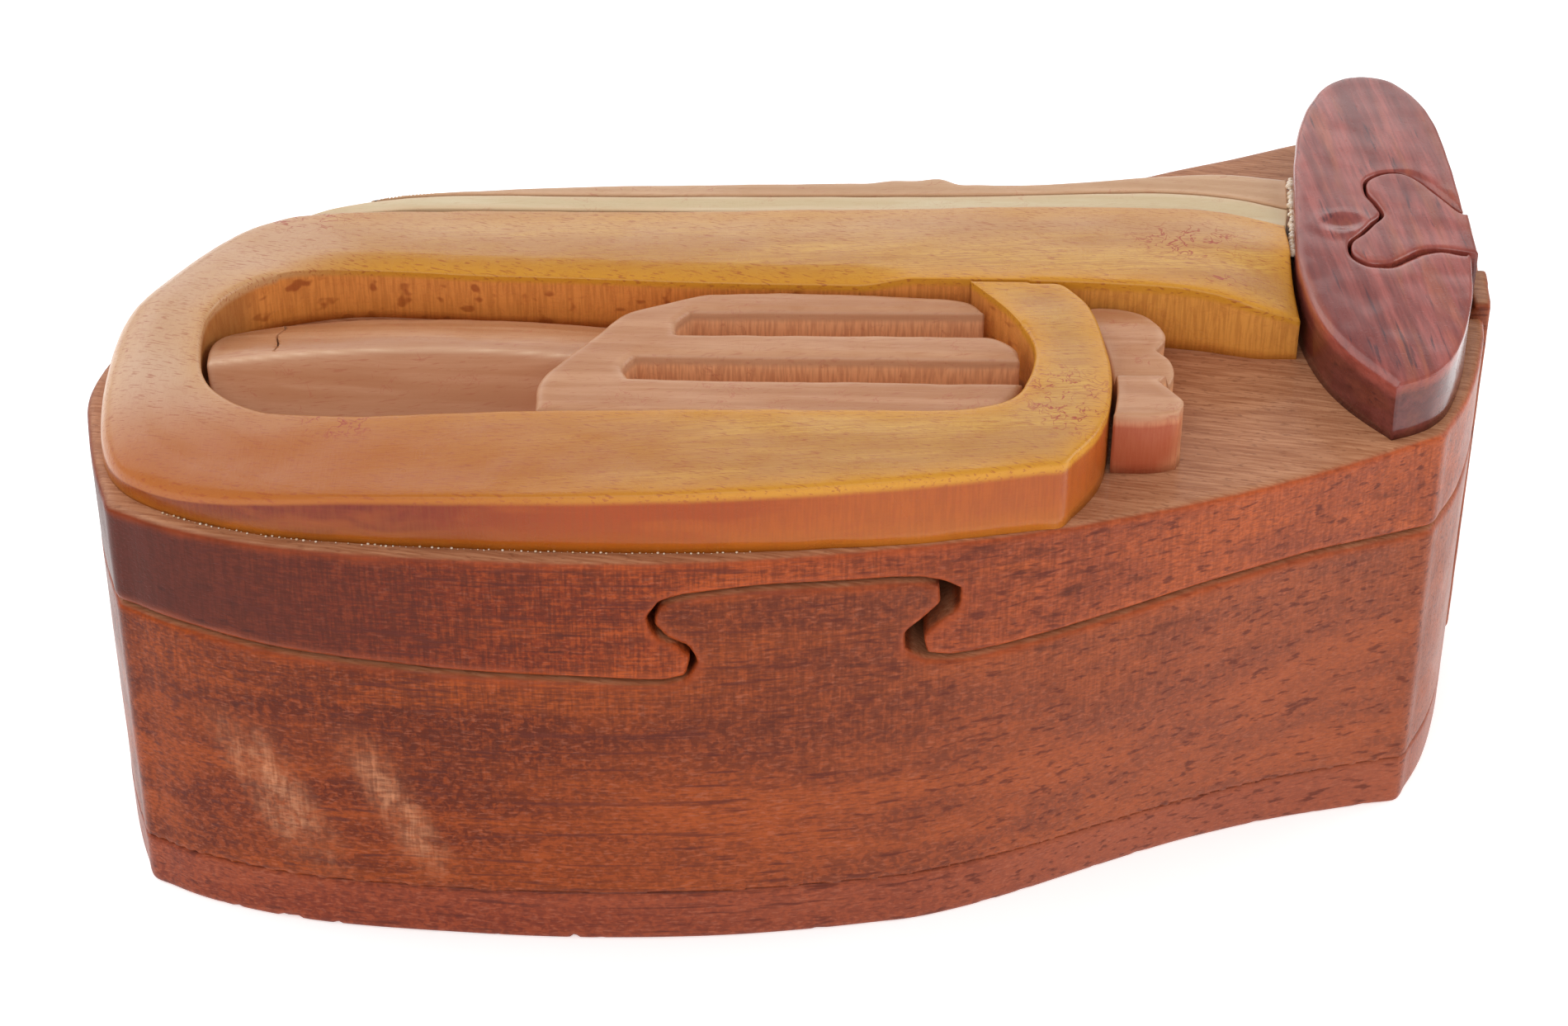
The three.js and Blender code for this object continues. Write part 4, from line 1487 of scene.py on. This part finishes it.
# %% [markdown]
# ## Hand sanding
#
# No face of a hand-sanded piece is truly flat: the paper takes off a little more here and there,
# which bends the highlights. The same rule holds for every wooden piece, so a Geometry Nodes tree
# does it. Noise says how much is taken off along the normal, never more than the named depth, so
# no piece grows. The tree gives the piece its finish too.

# %% The maker of shaping trees
class Shaping(Nodes):
    """A Geometry Nodes tree with named inputs."""

    def __init__(self, name, *labels):
        super().__init__(bpy.data.node_groups.new(name, "GeometryNodeTree"))
        kinds = {"Geometry": "NodeSocketGeometry", "Material": "NodeSocketMaterial"}
        new_socket = self.tree.interface.new_socket
        for label in ("Geometry", *labels, "Material"):
            new_socket(label, in_out="INPUT", socket_type=kinds.get(label, "NodeSocketFloat"))
        new_socket("Geometry", in_out="OUTPUT", socket_type=kinds["Geometry"])
        self.given = self.tree.nodes.new("NodeGroupInput").outputs
        self.sink = self.tree.nodes.new("NodeGroupOutput")

    def shape(self, kind, **inputs):
        """Adds a geometry node and hands back what it made."""
        return self.add("GeometryNode" + kind, inputs).outputs[0]

    def end(self, geometry):
        """Ends the tree in Realize Instances and Set Material."""
        real = self.shape("RealizeInstances", Geometry=geometry)
        done = self.shape("SetMaterial", Geometry=real, Material=self.given["Material"])
        self.tree.links.new(done, self.sink.inputs[0])

    def run(self, thing, **values):
        """Runs the tree on a thing with the given inputs and keeps the result as plain mesh."""
        modifier = thing.modifiers.new(self.tree.name, "NODES")
        modifier.node_group = self.tree
        for item in self.tree.interface.items_tree:
            if item.in_out == "INPUT" and item.name in values:
                modifier[item.identifier] = values[item.name]
        settled(thing)
        thing.data.shade_smooth()


# %% The sanding tree
sanding = t = Shaping("hand_sanding", "Depth", "Wave", "Seed")
wave = t.given["Wave"]
place = t.vector("DIVIDE", t.shape("InputPosition"), t.size(wave, wave, wave))
waves = {"Vector": place, "W": t.given["Seed"], "Scale": 1.0, "Detail": 1.5}
height = t.add("ShaderNodeTexNoise", waves, noise_dimensions="4D").outputs[0]
taken = t.times(t.mask(height, 0.3, 0.7), t.given["Depth"])
inward = t.scaled(t.shape("InputNormal"), t.times(taken, -1.0))
t.end(t.shape("SetPosition", Geometry=t.given["Geometry"], Offset=inward))

# %% Sand every wooden piece
SANDED = (
    (base, 0.10, 16, base_wood), (floor_board, 0.04, 12, floor_wood), (lid, 0.10, 14, lid_wood),
    (key, 0.05, 8, key_wood), (felt, 0.0, 8, felt_cloth), (horn, 0.16, 9, horn_wood),
    (bell, 0.14, 7, bell_wood), (head, 0.08, 6, bell_wood), (stripe, 0.08, 8, cream_wood),
    (back_pipe, 0.06, 6, tan_wood), (inner_pipe, 0.12, 6, pink_wood), (comb, 0.12, 6, pink_wood),
    (lobes, 0.12, 4, pink_wood),
)
for number, (piece, depth, wave, material) in enumerate(SANDED):
    sanding.run(piece, Depth=depth * MM, Wave=wave * MM, Seed=float(number), Material=material)
print(len(SANDED), "pieces sanded")

# %% [markdown]
# ## Glue beads
#
# Drops of glue lie along the horn's foot at the front left, and a few more where the stripes meet
# the bell. They repeat along a line, so a second tree puts small squashed spheres on it, at random
# sizes with a fixed seed, and joins them into one piece.

# %% The bead tree
beading = t = Shaping("glue_beads", "Spacing", "Smallest", "Largest", "Stray", "Seed")
given = t.given
RANDOM_SOCKETS = {"FLOAT": (2, 1), "FLOAT_VECTOR": (0, 0)}
BEAD_SQUASH = 0.7


def random_values(low, high, kind):
    """A random number or vector for each bead."""
    first, place = RANDOM_SOCKETS[kind]
    inputs = {first: low, first + 1: high, "Seed": given["Seed"]}
    return t.add("FunctionNodeRandomValue", inputs, data_type=kind).outputs[place]


line = t.shape("MeshToCurve", Mesh=given["Geometry"])
steps = {"Curve": line, "Length": given["Spacing"]}
dots = t.add("GeometryNodeCurveToPoints", steps, mode="LENGTH").outputs[0]
back = t.times(given["Stray"], -1.0)
forth = t.size(given["Stray"], given["Stray"], 0.0)
stray = random_values(t.size(back, back, 0.0), forth, "FLOAT_VECTOR")
dots = t.shape("SetPosition", Geometry=dots, Offset=stray)
ball = t.shape("MeshIcoSphere", Radius=1.0, Subdivisions=2)
wide = random_values(given["Smallest"], given["Largest"], "FLOAT")
bead_size = t.size(wide, wide, t.times(wide, BEAD_SQUASH))
t.end(t.shape("InstanceOnPoints", Points=dots, Instance=ball, Scale=bead_size))

# %% Lines for the beads
BEAD_LEFT = -71 * MM
BEAD_RIGHT = -6 * MM
BEAD_FRONT = -35 * MM
BEAD_OUT = 0.12 * MM
BEAD_LIFT = 0.08 * MM
JOINT_REACH = (6 * MM, 24 * MM)
JOINT_RIGHT = 62 * MM
JOINT_DEPTH = 0.9 * MM


def just_outside(rim):
    """A line a little outside a counter-clockwise rim, with its X and its Y."""
    line = rim - inward_of(counter_clockwise(rim)) * BEAD_OUT
    return line, line[:, 0], line[:, 1]


line, x, y = just_outside(horn_rim)
foot_line = line[(y < BEAD_FRONT) & (x > BEAD_LEFT) & (x < BEAD_RIGHT)]
foot_line = foot_line[np.argsort(foot_line[:, 0])]
line, x, y = just_outside(counter_clockwise(fair(foot_outline("bell"), RIM_STEP)))
joint_line = line[(x < JOINT_RIGHT) & (y > JOINT_REACH[0]) & (y < JOINT_REACH[1])]
joint_line = joint_line[np.argsort(joint_line[:, 1])]
print("bead lines of", len(foot_line), "and", len(joint_line), "points")


# %% Place the beads
def bead_line(name, points, spacing, smallest, largest, stray, seed):
    links = [(i, i + 1) for i in range(len(points) - 1)]
    mesh = bpy.data.meshes.new(name)
    mesh.from_pydata([tuple(p) for p in points], links, [])
    thing = bpy.data.objects.new(name, mesh)
    bpy.context.scene.collection.objects.link(thing)
    sizes = {"Spacing": spacing, "Smallest": smallest, "Largest": largest, "Stray": stray}
    sizes = {label: size * MM for label, size in sizes.items()}
    beading.run(thing, **sizes, Seed=float(seed), Material=dry_glue)
    print(name, len(thing.data.polygons), "faces")
    return thing


foot_points = at_height(foot_line, block_top + BEAD_LIFT)
foot_beads = bead_line("glue_beads_foot", foot_points, 0.7, 0.03, 0.17, 0.12, 3)
joint_points = at_height(joint_line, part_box("inlay_stripe")[1].z - JOINT_DEPTH)
joint_beads = bead_line("glue_beads_joint", joint_points, 0.45, 0.2, 0.6, 0.15, 5)

# %% [markdown]
# ## Which body each piece rides on
#
# The base stands still. The lid carries the whole tuba apart from the key, and the key carries its
# head. Each piece also says which imported node it stands for and which finish it shows.

# %% Ride and replace
PLACES = (
    (base, "base", "base_frame", "mahogany"), (floor_board, "base", "base_floor", "mahogany"),
    (felt, "base", "felt_pad", "felt"), (lid, "lid", "lid_board", "mahogany"),
    (horn, "lid", "horn_loop", "yellow_wood"), (bell, "lid", "bell", "rosewood"),
    (stripe, "lid", "inlay_stripe", "cream_wood"), (back_pipe, "lid", "lead_pipe", "pale_pipe_wood"),
    (inner_pipe, "lid", "inner_pipe", "pink_wood"), (comb, "lid", "valve_block", "pink_wood"),
    (lobes, "lid", "valve_ends", "pink_wood"), (key, "key", "key_body", "mahogany_key"),
    (head, "key", "key_cap", "rosewood"), (foot_beads, "lid", None, "cream_wood"),
    (joint_beads, "lid", None, "cream_wood"),
)
for piece, body, node, slot in PLACES:
    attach(piece, body)
    if node:
        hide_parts(node)

# %% [markdown]
# ## Floor and light
#
# The box stands on a plain, nearly white floor. A white sky lights it from all sides. Soft panels
# behind it and at its left and right give the bow and the right end a sheen, and one in front
# keeps the front walls readable.

# %% Floor
FLOOR_HALF = 3.0
FLOOR_GLOW = 0.45
corners = [(-1, -1), (1, -1), (1, 1), (-1, 1)]
floor = mesh_object("floor", [(x * FLOOR_HALF, y * FLOOR_HALF, 0) for x, y in corners], [(0, 1, 2, 3)])
f = Finish("floor_paint", 0.1, 0.0, 0.03, Emission_Strength=FLOOR_GLOW, Emission_Color=(1, 1, 1, 1))
speckle = f.noise(f.place, scale=0.02)
f.colour = f.mix(speckle, (244, 244, 244), (250, 250, 250))
f.tree.links.new(f.colour, f.shader.inputs["Base Color"])
f.tree.links.new(f.plus(f.times(speckle, 0.1), 0.8), f.shader.inputs["Roughness"])
floor.data.materials.append(f.material)
print("floor of", 2 * FLOOR_HALF, "m")

# %% Light
SKY = 0.56
PANELS = (
    ("back_panel", (-0.05, 0.80, 0.40), (0.9, 0.45), 1.2),
    ("left_panel", (-0.60, 0.30, 0.60), (0.9, 0.9), 3.6),
    ("right_panel", (0.80, 0.10, 0.35), (0.6, 0.6), 2.5),
    ("front_panel", (-0.10, -0.85, 0.55), (0.8, 0.8), 3.0),
)
world = bpy.data.worlds.new("white_sky")
world.use_nodes = True
sky = world.node_tree.nodes["Background"].inputs
sky["Color"].default_value = (1, 1, 1, 1)
sky["Strength"].default_value = SKY
bpy.context.scene.world = world
for name, place, (width, height), power in PANELS:
    lamp = bpy.data.lights.new(name, "AREA")
    lamp.energy = power
    lamp.shape = "RECTANGLE"
    lamp.size = width
    lamp.size_y = height
    panel = bpy.data.objects.new(name, lamp)
    panel.location = place
    aim = Vector((0, 0, block_top)) - Vector(place)
    panel.rotation_euler = aim.to_track_quat("-Z", "Y").to_euler()
    bpy.context.scene.collection.objects.link(panel)
bpy.context.scene.view_settings.view_transform = "Standard"
print(len(PANELS), "soft panels")
